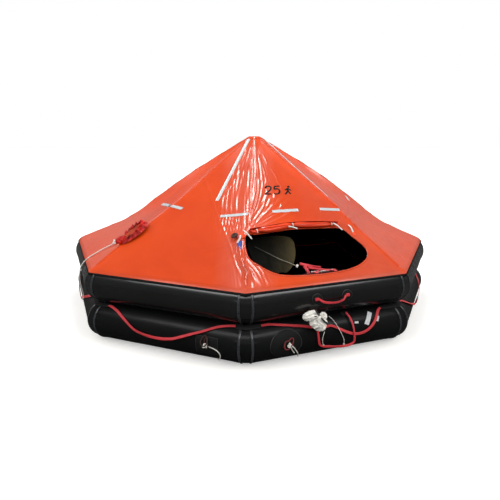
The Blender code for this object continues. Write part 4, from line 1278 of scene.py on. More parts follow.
STRIPS = [
    ("reflector_front_left_long", [(249.0, 138.8), (233.2, 169.5), (216.9, 200.8)], 0.040),
    ("reflector_right_ridge", [(264.6, 139.4), (295.9, 168.0), (327.6, 196.4)], 0.028),
    ("reflector_left_short", [(162.4, 204.4), (172.5, 206.2), (182.3, 208.8)], 0.040),
    ("reflector_front_left_low", [(220.4, 216.2), (234.5, 215.2), (248.4, 213.8)], 0.040),
    ("reflector_front_low", [(272.2, 211.5), (285.4, 210.7), (298.2, 209.9)], 0.040),
    ("reflector_front_right_low", [(319.6, 209.0), (329.4, 209.4), (339.2, 209.7)], 0.036),
    ("reflector_right_short", [(345.6, 195.8), (347.2, 198.2), (348.8, 200.4)], 0.036),
]
for name, pts, width in STRIPS:
    # the left one crosses the ridge and its seam tape
    decal_strip(name, pts, width, M_TAPE, lift=0.0034 if name == "reflector_left_short" else 0.0006)
# the same on the sides that the photo doesn't show
for k in (2, 3, 4, 5):
    for tag, s0, s1, h0, h1 in (("low", -.18, .12, .93, .95),):
        o, x, y, z = panel_frame(k)
        pts = np.array([on_panel(k, s0 + (s1 - s0) * t, h0 + (h1 - h0) * t)
                        for t in np.linspace(0, 1, 26)])
        v, f, uv = skin_strip(press(pts, np.tile(z, (26, 1)), SKIN), 0.040, SKIN, z, across=3)
        piece("reflector_side_%d_%s" % (k, tag), v, f, M_TAPE, uvs=uv)
for k in (3, 5):
    pts = ridge_line(k, np.linspace(.52, .96, 60)) + tangent(k) * .04
    o, x, y, z = panel_frame(k)
    v, f, uv = skin_strip(press(pts, np.tile(z, (60, 1)), SKIN), 0.040, SKIN, z, across=3)
    piece("reflector_side_%d_long" % k, v, f, M_TAPE, uvs=uv)


def strokes(name, lines, width, mat, step=0.35):
    parts = []
    for pts in lines:
        p = cast_line(pts, SKIN, step, per=8)
        k = panel_at(p[len(p) // 2])
        v, f, uv = skin_strip(p, width, SKIN, panel_frame(k)[3], across=2, thick=0.0006,
                              lift=0.0004)
        parts.append((v, f, uv))
    v, f, uv, _ = join(parts)
    return piece(name, v, f, mat, uvs=uv)


# a plain capacity number and a plain figure
strokes("capacity_number", [
    [(265.2, 188.4), (266.6, 186.6), (269.2, 186.3), (270.8, 187.8), (270.2, 189.9), (267.6, 192.2),
     (265.3, 194.3)],
    [(265.2, 194.3), (268.2, 194.1), (271.4, 193.9)],
    [(279.4, 186.1), (276.6, 186.3), (274.5, 186.5)],
    [(274.5, 186.5), (274.3, 188.2), (274.2, 189.6)],
    [(274.2, 189.6), (276.4, 188.9), (278.8, 189.5), (279.7, 191.5), (278.5, 193.5), (276.0, 194.1),
     (273.7, 193.5)],
], 0.0190, M_INK)
strokes("capacity_figure", [
    [(288.1, 186.2), (288.7, 186.5), (288.5, 187.2), (287.9, 187.1), (288.1, 186.2)],
    [(288.1, 188.0), (288.0, 189.8), (287.8, 191.2)],
    [(285.4, 190.3), (286.8, 189.0), (288.1, 188.6), (289.6, 189.8), (291.0, 190.2)],
    [(287.8, 191.0), (286.6, 192.8), (285.4, 194.4)],
    [(288.0, 191.0), (289.4, 192.7), (290.9, 194.0)],
], 0.0185, M_INK)

# ------------------------------------------------------ rolled-up front door
ROLL_LINE = [(-0.555, 0.724), (-0.40, 0.740), (-0.25, 0.760), (-0.10, 0.768),
             (0.08, 0.762), (0.25, 0.748), (0.42, 0.728)]
FO, FX, FY, FZ = panel_frame(0)
roll_path = spline([on_panel(0, s, h, 0.038) for s, h in ROLL_LINE], 16)
roll_path = resample(roll_path, 0.0105)
n = len(roll_path)
d = np.concatenate([[0], np.cumsum(np.linalg.norm(np.diff(roll_path, axis=0), axis=1))])
TIE_S = [d[np.argmin(np.linalg.norm(roll_path - spline([on_panel(0, s, h, 0.038)
         for s, h in ROLL_LINE], 2)[j], axis=1))] for j in (1, 6, 11)]
t, side, up = frames_along(roll_path, np.tile(FZ, (n, 1)))
turns, m = 3.05, 92


def roll_size(q):
    """Thin where a tie holds the roll and at its ends, full between."""
    pinch = sum(math.exp(-((q - w) / .045) ** 2) for w in TIE_S)
    ends = math.exp(-(q / .05) ** 2) + math.exp(-((d[-1] - q) / .05) ** 2)
    full = np.interp(q / d[-1], (0, .22, .45, .62, 1), (1.0, 1.16, 1.0, .90, .78))
    return max(.42, full - .42 * min(pinch, 1) - .30 * ends)


def roll_sag(q):
    bays = [0.0] + [w for w in TIE_S if .03 < w < d[-1] - .03] + [float(d[-1])]
    for a_, b_ in zip(bays[:-1], bays[1:]):
        if a_ <= q <= b_:
            return -.006 - .014 * math.sin(math.pi * (q - a_) / max(b_ - a_, 1e-6))
    return -.006


phi = np.linspace(0, 2 * math.pi * turns, m)
rr = 0.0085 + (0.0295 - 0.0085) * (phi / phi[-1])
pts = np.zeros((n, m, 3))
for i in range(n):
    x = d[i] / d[-1]
    pinch = sum(math.exp(-((d[i] - q) / .030) ** 2) for q in TIE_S)
    ends = math.exp(-(d[i] / .05) ** 2) + .4 * math.exp(-((d[-1] - d[i]) / .05) ** 2)
    r = rr * roll_size(d[i])
    a = phi + 1.1 + .45 * math.sin(d[i] * 3.1)
    fold = (1 + .075 * np.sin(5 * a + d[i] * 7) + .050 * np.sin(9 * a - d[i] * 15)
            + .05 * lattice(np.stack([np.cos(a) * 2, np.sin(a) * 2, np.full_like(a, d[i] * 9)], -1), 5)
            + .05 * pinch * np.sin(13 * a))
    r = r * (.35 + .65 * fold)
    c = roll_path[i] + up[i] * (-.010) + FY * roll_sag(d[i])
    # flattened against the tent, longer along the slope than away from it
    pts[i] = c + side[i] * (np.cos(a) * r * 1.10)[:, None] + up[i] * (np.sin(a) * r * .86)[:, None]
roll_v = pts.reshape(-1, 3)
roll_uv = np.stack(np.meshgrid(rr * phi, d), -1).reshape(-1, 2)
door_roll = piece("front_door_rolled", roll_v, grid_faces(m, n), M_ROLL_PAINTED_LIGHT,
                  replaces="front_door_roll", uvs=roll_uv)
ROLL_TREE = surface_of(roll_v, grid_faces(m, n))

# the cloth from the roll's back up to its seam above the entrance
seam_line = [(-0.560, 0.758), (-0.40, 0.778), (-0.25, 0.798), (-0.10, 0.806), (0.08, 0.802),
             (0.25, 0.788), (0.42, 0.766)]
top_line = resample(spline(seam_line, 12), .0105)
nn = 90
top_line = np.stack([np.interp(np.linspace(0, 1, nn), np.linspace(0, 1, len(top_line)), top_line[:, i])
                     for i in range(2)], 1)
low_line = np.stack([np.interp(np.linspace(0, 1, nn), np.linspace(0, 1, n), roll_path[:, i])
                     for i in range(3)], 1)
rows = []
for j in range(15):
    g = j / 14
    row = []
    for i in range(nn):
        s, h = top_line[i]
        a = press([on_panel(0, s, h)], [FZ], SKIN)[0] + FZ * .0018
        b = low_line[i] + FZ * (.020 - .006) - FY * .004 + FY * .012
        x = i / (nn - 1)
        pinch = sum(math.exp(-((x * d[-1] - q) / .035) ** 2) for q in TIE_S)
        c = a + (b - a) * g
        bulge = .010 * math.sin(math.pi * g) * (1 - .6 * pinch)
        fold = .0042 * math.sin(math.pi * g) * math.sin(x * 60 + 6 * math.sin(x * 9) + g * 2)
        row.append(c + FZ * (bulge + fold))
    rows.append(row)
rows = np.array(rows)
apron = piece("front_door_top", rows.reshape(-1, 3), grid_faces(nn, 15, flip=True), M_ROLL_PAINTED_LIGHT)
v, f, uv = skin_strip(np.array([on_panel(0, s, h, .002) for s, h in top_line]), 0.022, SKIN, FZ,
                      across=3, thick=0.0026)
piece("front_door_seam", v, f, M_SEAM, uvs=uv)

# white ties: a band round the roll and a loose end
M_TIE = mat_webbing("white_tape_look", (0.50, 0.50, 0.48), (0.84, 0.83, 0.80))
M_RED_CLOTH = mat_coated("red_cloth_look", (0.30, 0.010, 0.010), (0.46, 0.020, 0.016),
                         rough=(0.4, 0.6), creases=0.6, crease_size=30.0, blotch=12.0)


def tie(name, at, ends, width=0.016, replaces=()):
    """A band round the roll and its end, which lies over the front from one place
    of the photo's frame to the other."""
    i = int(np.argmin(np.abs(d - at)))
    c = roll_path[i] + up[i] * (-.010) + FY * roll_sag(d[i])
    a = np.linspace(0, 2 * math.pi, 40, endpoint=False)
    r = .0295 * roll_size(d[i]) + .0030
    ringp = np.array([c + side[i] * math.cos(x) * r * 1.10 + up[i] * math.sin(x) * r * .88 for x in a])
    ups = np.array([side[i] * math.cos(x) / 1.1 + up[i] * math.sin(x) / .86 for x in a])
    parts = [ribbon_mesh(ringp, ups, width * .6, .0020, across=2, closed=True)]
    got = []
    for (x, y), lift in zip(ends, (.042, .052, .040)):
        w = sight(x, y)
        got.append(CAM + w * (((FO + FZ * lift - CAM) @ FZ) / (w @ FZ)))
    line = resample(spline(np.array(got), 12), .005)
    q = np.linspace(0, 1, len(line))
    facing = unit(FZ[None, :] + np.array((0, -.5, 0))[None, :]
                  + FX[None, :] * (.35 * np.sin(q * 7 + at * 9))[:, None])
    w_ = width * (1 - .25 * np.sin(math.pi * q))
    parts.append(ribbon_mesh(line, facing, w_, .0020, across=2))
    v, f, uv, _ = join(parts)
    return piece(name, v, f, M_TIE, uvs=uv, replaces=replaces)


tie("door_tie_left", TIE_S[0] - .02, [(243.6, 230.2), (247.4, 233.6), (251.9, 239.0)],
    replaces="front_door_tie_left")
tie("door_tie_middle", TIE_S[1], [(288.4, 226.4), (292.6, 227.0), (297.4, 228.6)],
    replaces="front_door_tie_middle")
tie("door_tie_right", TIE_S[2] - .015, [(333.4, 223.0), (337.6, 225.6), (342.4, 230.0)],
    replaces="front_door_tie_right")

# a loose tie on its tab, right of the roll
p0, p1 = cast(348.2, 225.0, SKIN), cast(352.9, 232.4, SKIN)
line = resample(spline([p0, (p0 + p1) / 2 + FZ * .012, p1], 12), .006)
v1 = ribbon_mesh(line + FZ * .004, np.tile(FZ, (len(line), 1)), .017, .0022, across=2)
v, f, uv, fm = join([v1])
piece("door_tie_spare", v, f, M_TIE, uvs=uv)
p0, p1 = cast(351.2, 229.4, SKIN), cast(355.0, 235.2, SKIN)
v, f, uv = skin_strip(resample([p0, p1], .008), .030, SKIN, FZ, across=3, thick=.0035)
piece("door_tie_tab", v, f, M_ROLL_PAINTED_LIGHT, uvs=uv)

# toggle ring, its white strap, red cloth and a blue tab left of the entrance
ring_at = cast(234.8, 237.4, SKIN)
k7 = panel_frame(7)
if ring_at is not None:
    nz = k7[3]
    e1 = unit(np.cross(UP, nz))
    e2 = np.cross(nz, e1)
    a = np.linspace(0, 2 * math.pi, 28, endpoint=False)
    loop = np.array([ring_at + nz * (.026 + .006 * math.cos(x + .7)) + e1 * .024 * math.cos(x)
                     + e2 * .030 * math.sin(x) for x in a])
    v, f, uv = tube_mesh(loop, .0085, around=10, closed=True)
    piece("toggle_ring", v, f, M_BROWN, uvs=uv)
    bar = np.array([ring_at + nz * .032 + e1 * (.018 * x + .012) + e2 * (.020 * x - .004)
                    for x in np.linspace(-1, 1, 9)])
    v, f, uv = tube_mesh(bar, .0095 * np.array([.6, .9, 1, 1, 1, 1, 1, .9, .6]), around=10)
    piece("toggle_bar", v, f, M_BROWN, uvs=uv)


def float_line(points, lift, tree=SKIN, plane=None):
    """Points of the photo's frame laid a little over the tent."""
    out = []
    for x, y in points:
        p = cast(x, y, tree)
        if p is None:
            o, _, _, z = panel_frame(0)
            w = sight(x, y)
            p = CAM + w * (((o - CAM) @ z) / (w @ z))
        out.append(p)
    out = np.array(out)
    return out - unit(out - CAM) * lift


def folded_cloth(name, outline, depth, mat, lift, seed):
    """A small crumpled cloth piece: a strip between two lines of the frame."""
    left, right = outline
    rows = []
    n1, n2 = 22, 12
    a = spline(float_line(left, lift), 8)
    b = spline(float_line(right, lift), 8)
    a = np.stack([np.interp(np.linspace(0, 1, n1), np.linspace(0, 1, len(a)), a[:, i]) for i in range(3)], 1)
    b = np.stack([np.interp(np.linspace(0, 1, n1), np.linspace(0, 1, len(b)), b[:, i]) for i in range(3)], 1)
    view = -unit((a.mean(0) + b.mean(0)) / 2 - CAM)
    for j in range(n2):
        g = j / (n2 - 1)
        row = a + (b - a) * g
        bump = depth * math.sin(math.pi * g) * .7 + depth * .6 * lattice(
            np.stack([np.linspace(0, 5, n1), np.full(n1, g * 3), np.full(n1, .5)], -1), seed)
        rows.append(row + view[None, :] * bump[:, None])
    rows = np.array(rows).reshape(-1, 3)
    back = rows - view * .004
    faces = [tuple(f) for f in grid_faces(n1, n2)]
    faces += [tuple(f) for f in grid_faces(n1, n2, flip=True, offset=n1 * n2)]
    N = n1 * n2
    for i in range(n1 - 1):
        faces.append((i, i + N, i + 1 + N, i + 1))
        e = (n2 - 1) * n1 + i
        faces.append((e, e + 1, e + 1 + N, e + N))
    for j in range(n2 - 1):
        a0, b0 = j * n1, (j + 1) * n1
        faces.append((a0, b0, b0 + N, a0 + N))
        a0, b0 = j * n1 + n1 - 1, (j + 1) * n1 + n1 - 1
        faces.append((a0, a0 + N, b0 + N, b0))
    return piece(name, np.vstack([rows, back]), faces, mat)


folded_cloth("toggle_cloth", ([(238.6, 233.6), (242.0, 232.6), (245.6, 233.0)],
                              [(239.4, 238.6), (242.0, 238.4), (245.4, 237.4)]), .012, M_ROLL_PAINTED_LIGHT, .030, 3)
folded_cloth("toggle_red", ([(236.0, 233.2), (238.6, 234.2), (240.4, 236.2)],
                            [(234.6, 236.0), (236.4, 237.6), (238.2, 239.0)]), .010, M_RED_CLOTH, .034, 8)
folded_cloth("blue_tab", ([(236.6, 243.2), (238.4, 246.6), (240.4, 249.7)],
                          [(242.4, 240.0), (242.0, 244.6), (240.9, 249.9)]), .006, M_BLUE, .030, 5)
line = float_line([(240.4, 235.4), (240.0, 238.2), (238.2, 241.2), (237.2, 242.8)], .042)
line = resample(spline(line, 8), .005)
v, f, uv = ribbon_mesh(line, np.tile(unit(CAM - line.mean(0)), (len(line), 1)), .016, .0022, across=2)
piece("toggle_strap", v, f, M_TIE, uvs=uv)

# ------------------------------------------------------------- lookout port
low = ridge_point(7, APOTHEM + Q_HIGH, Z_HIGH)
top = corner_dir(7) * APEX_R + np.array((APEX_X, 0, APEX_Z))
PD = unit(top - low)
PA = unit(np.cross(UP, PD))
PU = unit(np.cross(PD, PA))
if PU[2] < 0:
    PU = -PU
PA = unit(np.cross(PU, PD))
PORT = low + (top - low) * 0.225 + PU * 0.0012


def port_point(x, y, z):
    return PORT + PD * x + PA * y + PU * z


na, nr = 128, 26
verts = []
for j in range(nr):
    g = j / (nr - 1)                       # 0 outer skirt, 1 inner edge of the rim
    for i in range(na):
        a = 2 * math.pi * i / na
        wob = lattice(np.array((math.cos(a) * 3, math.sin(a) * 3, 1.0)), 9)
        gathers = math.sin(23 * a + 5 * wob) * .6 + math.sin(41 * a + 7 * wob) * .35
        crumple = lattice(np.array((math.cos(a) * 7, math.sin(a) * 7, 3.0 + g * 2)), 19)
        gathers += 1.5 * crumple + .8 * math.sin(11 * a + 2 * wob)
        # section: skirt rises to a puckered roll and turns in
        if g < .45:
            q = g / .45
            rx, ry = .186 - .034 * q, .108 - .026 * q
            z = .002 + .026 * q ** 1.3 + .0065 * gathers * q
            rx += .006 * gathers * q
            ry += .005 * gathers * q
        else:
            q = (g - .45) / .55
            th = math.pi * q
            rr0 = .016 * (1 + .30 * wob)
            rx = .152 - rr0 * (1 - math.cos(th)) * .9
            ry = .082 - rr0 * (1 - math.cos(th)) * .9
            z = .028 + rr0 * math.sin(th) * 1.1 + .0085 * gathers * math.sin(th)
            rx += .0085 * gathers * math.sin(th)
            ry += .0080 * gathers * math.sin(th)
        tilt = 1 + .22 * math.cos(a)       # fuller at the upper end
        verts.append(port_point(rx * math.cos(a), ry * math.sin(a) * (.92 + .12 * math.cos(a)),
                                z * tilt))
verts = np.array(verts)
port_obj = piece("lookout_port_sleeve", verts, grid_faces(na, nr, close_u=True, flip=True), M_PORT,
                 replaces="lookout_port")
# the drawn-in cloth inside the rim
nr2 = 16
verts = []
for j in range(nr2):
    g = j / (nr2 - 1)
    for i in range(na):
        a = 2 * math.pi * i / na
        wob = lattice(np.array((math.cos(a) * 3, math.sin(a) * 3, 1.0)), 9)
        gathers = math.sin(31 * a + 3 * wob) * .5 + math.sin(19 * a + 4 * wob) * .5
        r = 1 - g
        rx, ry = .124 * r + .004 * g, .055 * r + .004 * g
        z = .030 - .016 * math.sin(math.pi * g * .5) + .0075 * gathers * g * (1 - g) * 2.4
        verts.append(port_point(rx * math.cos(a) - .02 * g, ry * math.sin(a), z))
verts.append(port_point(-.02, 0, .013))
f = [tuple(q) for q in grid_faces(na, nr2, close_u=True, flip=True)]
c = len(verts) - 1
f += [((nr2 - 1) * na + (i + 1) % na, (nr2 - 1) * na + i, c) for i in range(na)]
piece("lookout_port_inside", verts, f, M_PORT_IN)


# the gathered neck at the lower end, drawn in by the white line
def lump(name, centre, axes, radii, mat, seed, amount=.25, freq=3.0, nu=40, nv=26,
         replaces=()):
    verts, faces = [], []
    for j in range(nv + 1):
        th = math.pi * j / nv
        for i in range(nu):
            ph = 2 * math.pi * i / nu
            dv = np.array((math.sin(th) * math.cos(ph), math.sin(th) * math.sin(ph), math.cos(th)))
            r = 1 + amount * float(fbm(dv * freq * .5 + seed, 3, seed)) \
                + amount * .35 * math.sin(9 * ph + 2 * math.sin(3 * th))*math.sin(th)
            p = centre + axes[0] * dv[0] * radii[0] * r + axes[1] * dv[1] * radii[1] * r \
                + axes[2] * dv[2] * radii[2] * r
            verts.append(p)
    faces = [tuple(q) for q in grid_faces(nu, nv + 1, close_u=True, flip=True)]
    faces = faces[nu:-nu]
    faces = [tuple(q) for q in grid_faces(nu, nv + 1, close_u=True, flip=True)]
    verts, faces, _ = weld(np.array(verts), faces, .0003)
    return piece(name, verts, faces, mat, replaces=replaces)


lump("lookout_port_neck", port_point(-.148, .018, .030), (PD, PA, PU), (.054, .044, .034),
     M_PORT, 4, amount=.35)
lump("lookout_port_tuck", port_point(.128, -.030, .036), (PD, PA, PU), (.034, .024, .018),
     M_PORT, 14, amount=.4)

# ------------------------------------------------------------ red webbing
LINE_RAD = TUBE_RIM + 0.006 + 0.004
EVEN_SPAN = [(0.06, 64), (0.12, 60), (0.19, 46), (0.26, 27), (0.33, 10), (0.41, -4), (0.50, -9),
             (0.59, -4), (0.67, 10), (0.74, 27), (0.81, 46), (0.88, 60), (0.94, 64)]
LINE_SPANS = {
    6: [(0.03, 64), (0.08, 60), (0.13, 50), (0.18, 38), (0.24, 24), (0.30, 10), (0.36, -1),
        (0.44, -7), (0.52, 0), (0.60, 17), (0.676, 29), (0.72, 39), (0.76, 47), (0.80, 57),
        (0.85, 64)],
    7: [(0.10, 64), (0.167, 52), (0.222, 37), (0.267, 25), (0.309, 12), (0.347, 3), (0.397, -2),
        (0.454, -5), (0.511, -4), (0.574, 1), (0.628, 11), (0.692, 23), (0.753, 34), (0.809, 47),
        (0.842, 54), (0.889, 60), (0.927, 64)],
    0: [(0.14, 64), (0.186, 58), (0.222, 55), (0.275, 49), (0.337, 43), (0.379, 37), (0.430, 32),
        (0.463, 32), (0.499, 34), (0.529, 27), (0.560, 17), (0.593, 9), (0.628, 2), (0.671, -1),
        (0.714, 3), (0.751, 13), (0.786, 28), (0.826, 50), (0.861, 64)],
    1: [(0.09, 64), (0.107, 60), (0.147, 47), (0.207, 31), (0.27, 18), (0.345, 7), (0.41, -4),
        (0.482, -11), (0.56, -13), (0.64, -9), (0.70, 6), (0.75, 25), (0.804, 41), (0.87, 56),
        (0.92, 64)],
}
line_table = []
for k in range(SIDES):
    line_table += [(k + f, p) for f, p in LINE_SPANS.get(k, EVEN_SPAN)]
table = np.array([(line_table[-1][0] - SIDES, line_table[-1][1])] + line_table
                 + [(line_table[0][0] + SIDES, line_table[0][1])])
s_all = np.arange(0, SIDES, 1 / 96)
psi_all = np.interp(s_all, table[:, 0], table[:, 1])
for _ in range(3):
    psi_all = (np.roll(psi_all, 1) + 2 * psi_all + np.roll(psi_all, -1)) / 4
line, ups = [], []
for s, ps in zip(s_all, psi_all):
    k = int(s) % SIDES
    slack = 0.0075 * smoothstep(50, 10, ps)           # stands off where it hangs free
    twist = 40 * float(lattice(np.array((s * 4.1, 0, 0)), 3)) + 20 * math.sin(s * 11)
    line.append(on_tube(k, s - int(s), ps, LINE_RAD - .0035 + slack, LOWER_Z))
    ups.append(tube_normal(k, ps + twist * smoothstep(62, 30, ps)))
line = np.array(line)
ups = np.array(ups)
for _ in range(2):
    ups = unit(np.roll(ups, 1, 0) + 2 * ups + np.roll(ups, -1, 0))
v, f, uv = ribbon_mesh(line, ups, .0270, .0032, across=4, closed=True, crown=.15)
piece("lifeline_webbing", v, f, M_WEB, replaces="lifeline", uvs=uv)


# black hold-down patches at the corners, over the webbing
def wrap_patch(name, k, f0, f1, psi0, psi1, zc, thick, mat, rad=TUBE_R, nu=20, nv=10, round_it=0.0,
               wave=0.0, base=None):
    """A thin patch that lies on a tube; f runs past 0 or 1 round a corner."""
    top, low = [], []
    for j in range(nv):
        for i in range(nu):
            f = f0 + (f1 - f0) * i / (nu - 1)
            ps = psi0 + (psi1 - psi0) * j / (nv - 1)
            if round_it:
                # squared circle
                x, y = 2 * i / (nu - 1) - 1, 2 * j / (nv - 1) - 1
                cx, cy = x * math.sqrt(1 - y * y / 2), y * math.sqrt(1 - x * x / 2)
                mixr = round_it
                x, y = x + (cx - x) * mixr, y + (cy - y) * mixr
                f = (f0 + f1) / 2 + (f1 - f0) / 2 * x
                ps = (psi0 + psi1) / 2 + (psi1 - psi0) / 2 * y
            kk, ff = k, f
            if f < 0:
                kk, ff = (k - 1) % SIDES, f + 1
            elif f >= 1:
                kk, ff = (k + 1) % SIDES, f - 1
            rise = thick + wave * math.sin(i * .9 + j)
            top.append(on_tube(kk, ff, ps, rad + rise, zc))
            low.append(on_tube(kk, ff, ps, rad - .001, zc))
    faces = [tuple(q) for q in grid_faces(nu, nv)]
    N = nu * nv
    faces += [tuple(q) for q in grid_faces(nu, nv, flip=True, offset=N)]
    for i in range(nu - 1):
        faces.append((i, i + N, i + 1 + N, i + 1))
        e = (nv - 1) * nu + i
        faces.append((e, e + 1, e + 1 + N, e + N))
    for j in range(nv - 1):
        a, b = j * nu, (j + 1) * nu
        faces.append((a, b, b + N, a + N))
        a, b = j * nu + nu - 1, (j + 1) * nu + nu - 1
        faces.append((a, a + N, b + N, b))
    return piece(name, np.array(top + low), faces, mat)


HOLDS = {0: (-0.062, 0.090), 1: (-0.130, 0.080), 2: (-0.080, 0.050), 7: (-0.140, 0.085)}
for k in range(SIDES):
    a, b = HOLDS.get(k, (-0.070, 0.070))
    wrap_patch("lifeline_patch_%d" % k, k, a, b, 56.0, 72.0, LOWER_Z, .0115, M_PATCH, nu=24, nv=8,
               wave=.0006, round_it=.12)

# ---------------------------------------------------- straps on the two tubes
def smooth_like(points, per):
    """The same curve as part.py's smooth_points."""
    return spline(points, per)


def tube_strap(name, k, table, rad, zc, width=.022, thick=.0030, twist=(), closed=False, mat=None,
               replaces=(), step=.006, lift=0.0):
    """A strap over a tube; table holds fraction, degrees and stand-off."""
    table = [(r + (0.0,))[:3] for r in table]
    pts = np.array([on_tube(k, f, ps, rad + off, zc) for f, ps, off in table])
    nrm = np.array([tube_normal(k, ps) for _, ps, _ in table])
    per = 10
    path, ups = spline(pts, per), spline(nrm, per)
    d0 = np.concatenate([[0], np.cumsum(np.linalg.norm(np.diff(path, axis=0), axis=1))])
    q = np.arange(0, d0[-1], step)
    path = np.stack([np.interp(q, d0, path[:, i]) for i in range(3)], 1)
    ups = unit(np.stack([np.interp(q, d0, ups[:, i]) for i in range(3)], 1))
    path = path + ups * lift
    if len(twist):
        x = q / q[-1]
        ang = np.radians(np.interp(x, *zip(*twist)))
        t, side, up = frames_along(path, ups)
        ups = unit(up * np.cos(ang)[:, None] + side * np.sin(ang)[:, None])
    v, f, uv = ribbon_mesh(path, ups, width, thick, across=4, crown=.12)
    return piece(name, v, f, mat or M_WEB, uvs=uv, replaces=replaces), path


HANDLE = [(.405, 3, 0), (.418, 1, .004), (.440, -4, .030), (.500, -7, .040), (.550, -4, .030),
          (.573, 2, .004), (.586, 4, 0)]
for tag, k in (("front", 0), ("rear", 4)):
    tube_strap(tag + "_handle_strap", k, HANDLE, TUBE_RIM + .004, UPPER_Z, width=.021,
               twist=[(0, 0), (.3, 10), (.55, -8), (1, 4)], replaces=tag + "_handle")
    # the pads under its ends, with a paler rim that is a painted highlight, and the stitched ends
    for g, (f0, p0) in enumerate(((.404, 3), (.587, 4))):
        wrap_patch("%s_handle_rim_%d" % (tag, g), k, f0 - .031, f0 + .031, p0 - 15, p0 + 15,
                   UPPER_Z, .0020, M_PATCH_RIM_PAINTED_HIGHLIGHT, nu=24, nv=20, round_it=1.0)
        wrap_patch("%s_handle_pad_%d" % (tag, g), k, f0 - .0296, f0 + .0296, p0 - 14.3, p0 + 14.3,
                   UPPER_Z, .0036, M_PATCH, nu=24, nv=20, round_it=1.0)
        e = -1 if g == 0 else 1
        wrap_patch("%s_handle_end_%d" % (tag, g), k, f0 + e * .002 - .011, f0 + e * .002 + .011,
                   p0 - 4.4, p0 + 4.4, UPPER_Z, .0072, M_WEB, nu=10, nv=6, round_it=.4)

LADDER_RAD = LINE_RAD + .0145
LADDER_LEFT = [(.415, 62), (.413, 44), (.411, 26), (.413, 8)]
LADDER_RIGHT = [(.632, 8), (.630, 26), (.627, 44), (.622, 62)]
LADDER_HUNG = [(.418, .165), (.429, .137), (.450, .124), (.475, .116), (.502, .106), (.535, .098),
               (.570, .094), (.608, .099), (.632, .120), (.635, .155)]
for tag, k in (("front", 0), ("rear", 4)):
    pts = [on_tube(k, f, ps, LADDER_RAD, LOWER_Z) for f, ps in LADDER_LEFT]
    nrm = [tube_normal(k, ps) for f, ps in LADDER_LEFT]
    for f, z in LADDER_HUNG:
        p = on_tube(k, f, 0, LADDER_RAD, LOWER_Z)
        pts.append(np.array((p[0], p[1], z)))
        nrm.append(normal(k))
    pts += [on_tube(k, f, ps, LADDER_RAD, LOWER_Z) for f, ps in LADDER_RIGHT]
    nrm += [tube_normal(k, ps) for f, ps in LADDER_RIGHT]
    path, ups = spline(np.array(pts), 8), spline(np.array(nrm), 8)
    dd = np.concatenate([[0], np.cumsum(np.linalg.norm(np.diff(path, axis=0), axis=1))])
    q = np.arange(0, dd[-1], .006)
    path = np.stack([np.interp(q, dd, path[:, i]) for i in range(3)], 1)
    ups = unit(np.stack([np.interp(q, dd, ups[:, i]) for i in range(3)], 1))
    tt, sd, uu = frames_along(path, ups)
    ang = np.radians(18 * np.sin(q * 11 + 1) + 16 * np.sin(q * 23))
    ang = ang * smoothstep(.03, .15, q) * smoothstep(.03, .15, q[-1] - q)
    ups = unit(uu * np.cos(ang)[:, None] + sd * np.sin(ang)[:, None])
    v, f, uv = ribbon_mesh(path, ups, .0200, .0030, across=4, crown=.12)
    piece(tag + "_ladder_webbing", v, f, M_WEB, uvs=uv, replaces=tag + "_ladder")
    # black patches that hold its two ends at the joint of the tubes
    for g, f0 in enumerate((.415, .622)):
        wrap_patch("%s_ladder_patch_%d" % (tag, g), k, f0 - .028, f0 + .028, 55, 70, LOWER_Z,
                   .0060, M_PATCH, nu=12, nv=8, round_it=.2)
    # a stiffened step: the webbing doubled along the rung
    half = (path[:, 2] < .128)
    sel = path[half]
    if len(sel) > 8:
        sel, us = sel[4:-4], ups[half][4:-4]
        v, f, uv = ribbon_mesh(sel - us * .0042, us, .0235, .0030, across=4)
        piece(tag + "_ladder_step", v, f, M_WEB, uvs=uv)

# inside the front entrance: strap over the tube with two more lengths of it
INNER_LADDER = [(.455, 84), (.450, 100), (.450, 125), (.452, 150), (.455, 175), (.475, 192),
                (.52, 196), (.565, 192), (.585, 175), (.588, 150), (.588, 125), (.586, 100),
                (.580, 84)]
tube_strap("inner_ladder_webbing", 0, INNER_LADDER, TUBE_RIM + .009, UPPER_Z, width=.030,
           twist=[(0, 0), (.2, 14), (.4, -10), (.6, 12), (.8, -9), (1, 0)], replaces="inner_ladder",
           lift=-.002)
tube_strap("inner_ladder_slack", 0, [(.462, 92), (.475, 100), (.500, 106), (.53, 104), (.56, 99),
           (.60, 101)], TUBE_RIM + .012, UPPER_Z, width=.024,
           twist=[(0, 0), (.3, 40), (.6, -25), (1, 10)])
tube_strap("inner_ladder_end", 0, [(.470, 96), (.478, 108), (.484, 122), (.488, 138)],
           TUBE_RIM + .010, UPPER_Z, width=.026, twist=[(0, 0), (.5, 30), (1, -10)])

# its ends knotted to the rope, as they lie in the photo's frame
def inside_strap(name, points, width, mat, step=.006, twist=0.0, thick=.0028):
    """Points hold the frame's place and the depth under the front panel."""
    got = []
    for x, y, depth in points:
        w = sight(x, y)
        got.append(CAM + w * (((FO + FZ * depth - CAM) @ FZ) / (w @ FZ)))
    line = resample(spline(np.array(got), 10), step)
    q = np.linspace(0, 1, len(line))
    view = unit(CAM - line.mean(0))
    across_ = unit(np.cross(view, unit(line[-1] - line[0])))
    facing = unit(view[None, :] + across_[None, :] * (twist * np.sin(q * 6.0))[:, None])
    v, f, uv = ribbon_mesh(line, facing, width, thick, across=3, crown=.1)
    return piece(name, v, f, mat, uvs=uv)


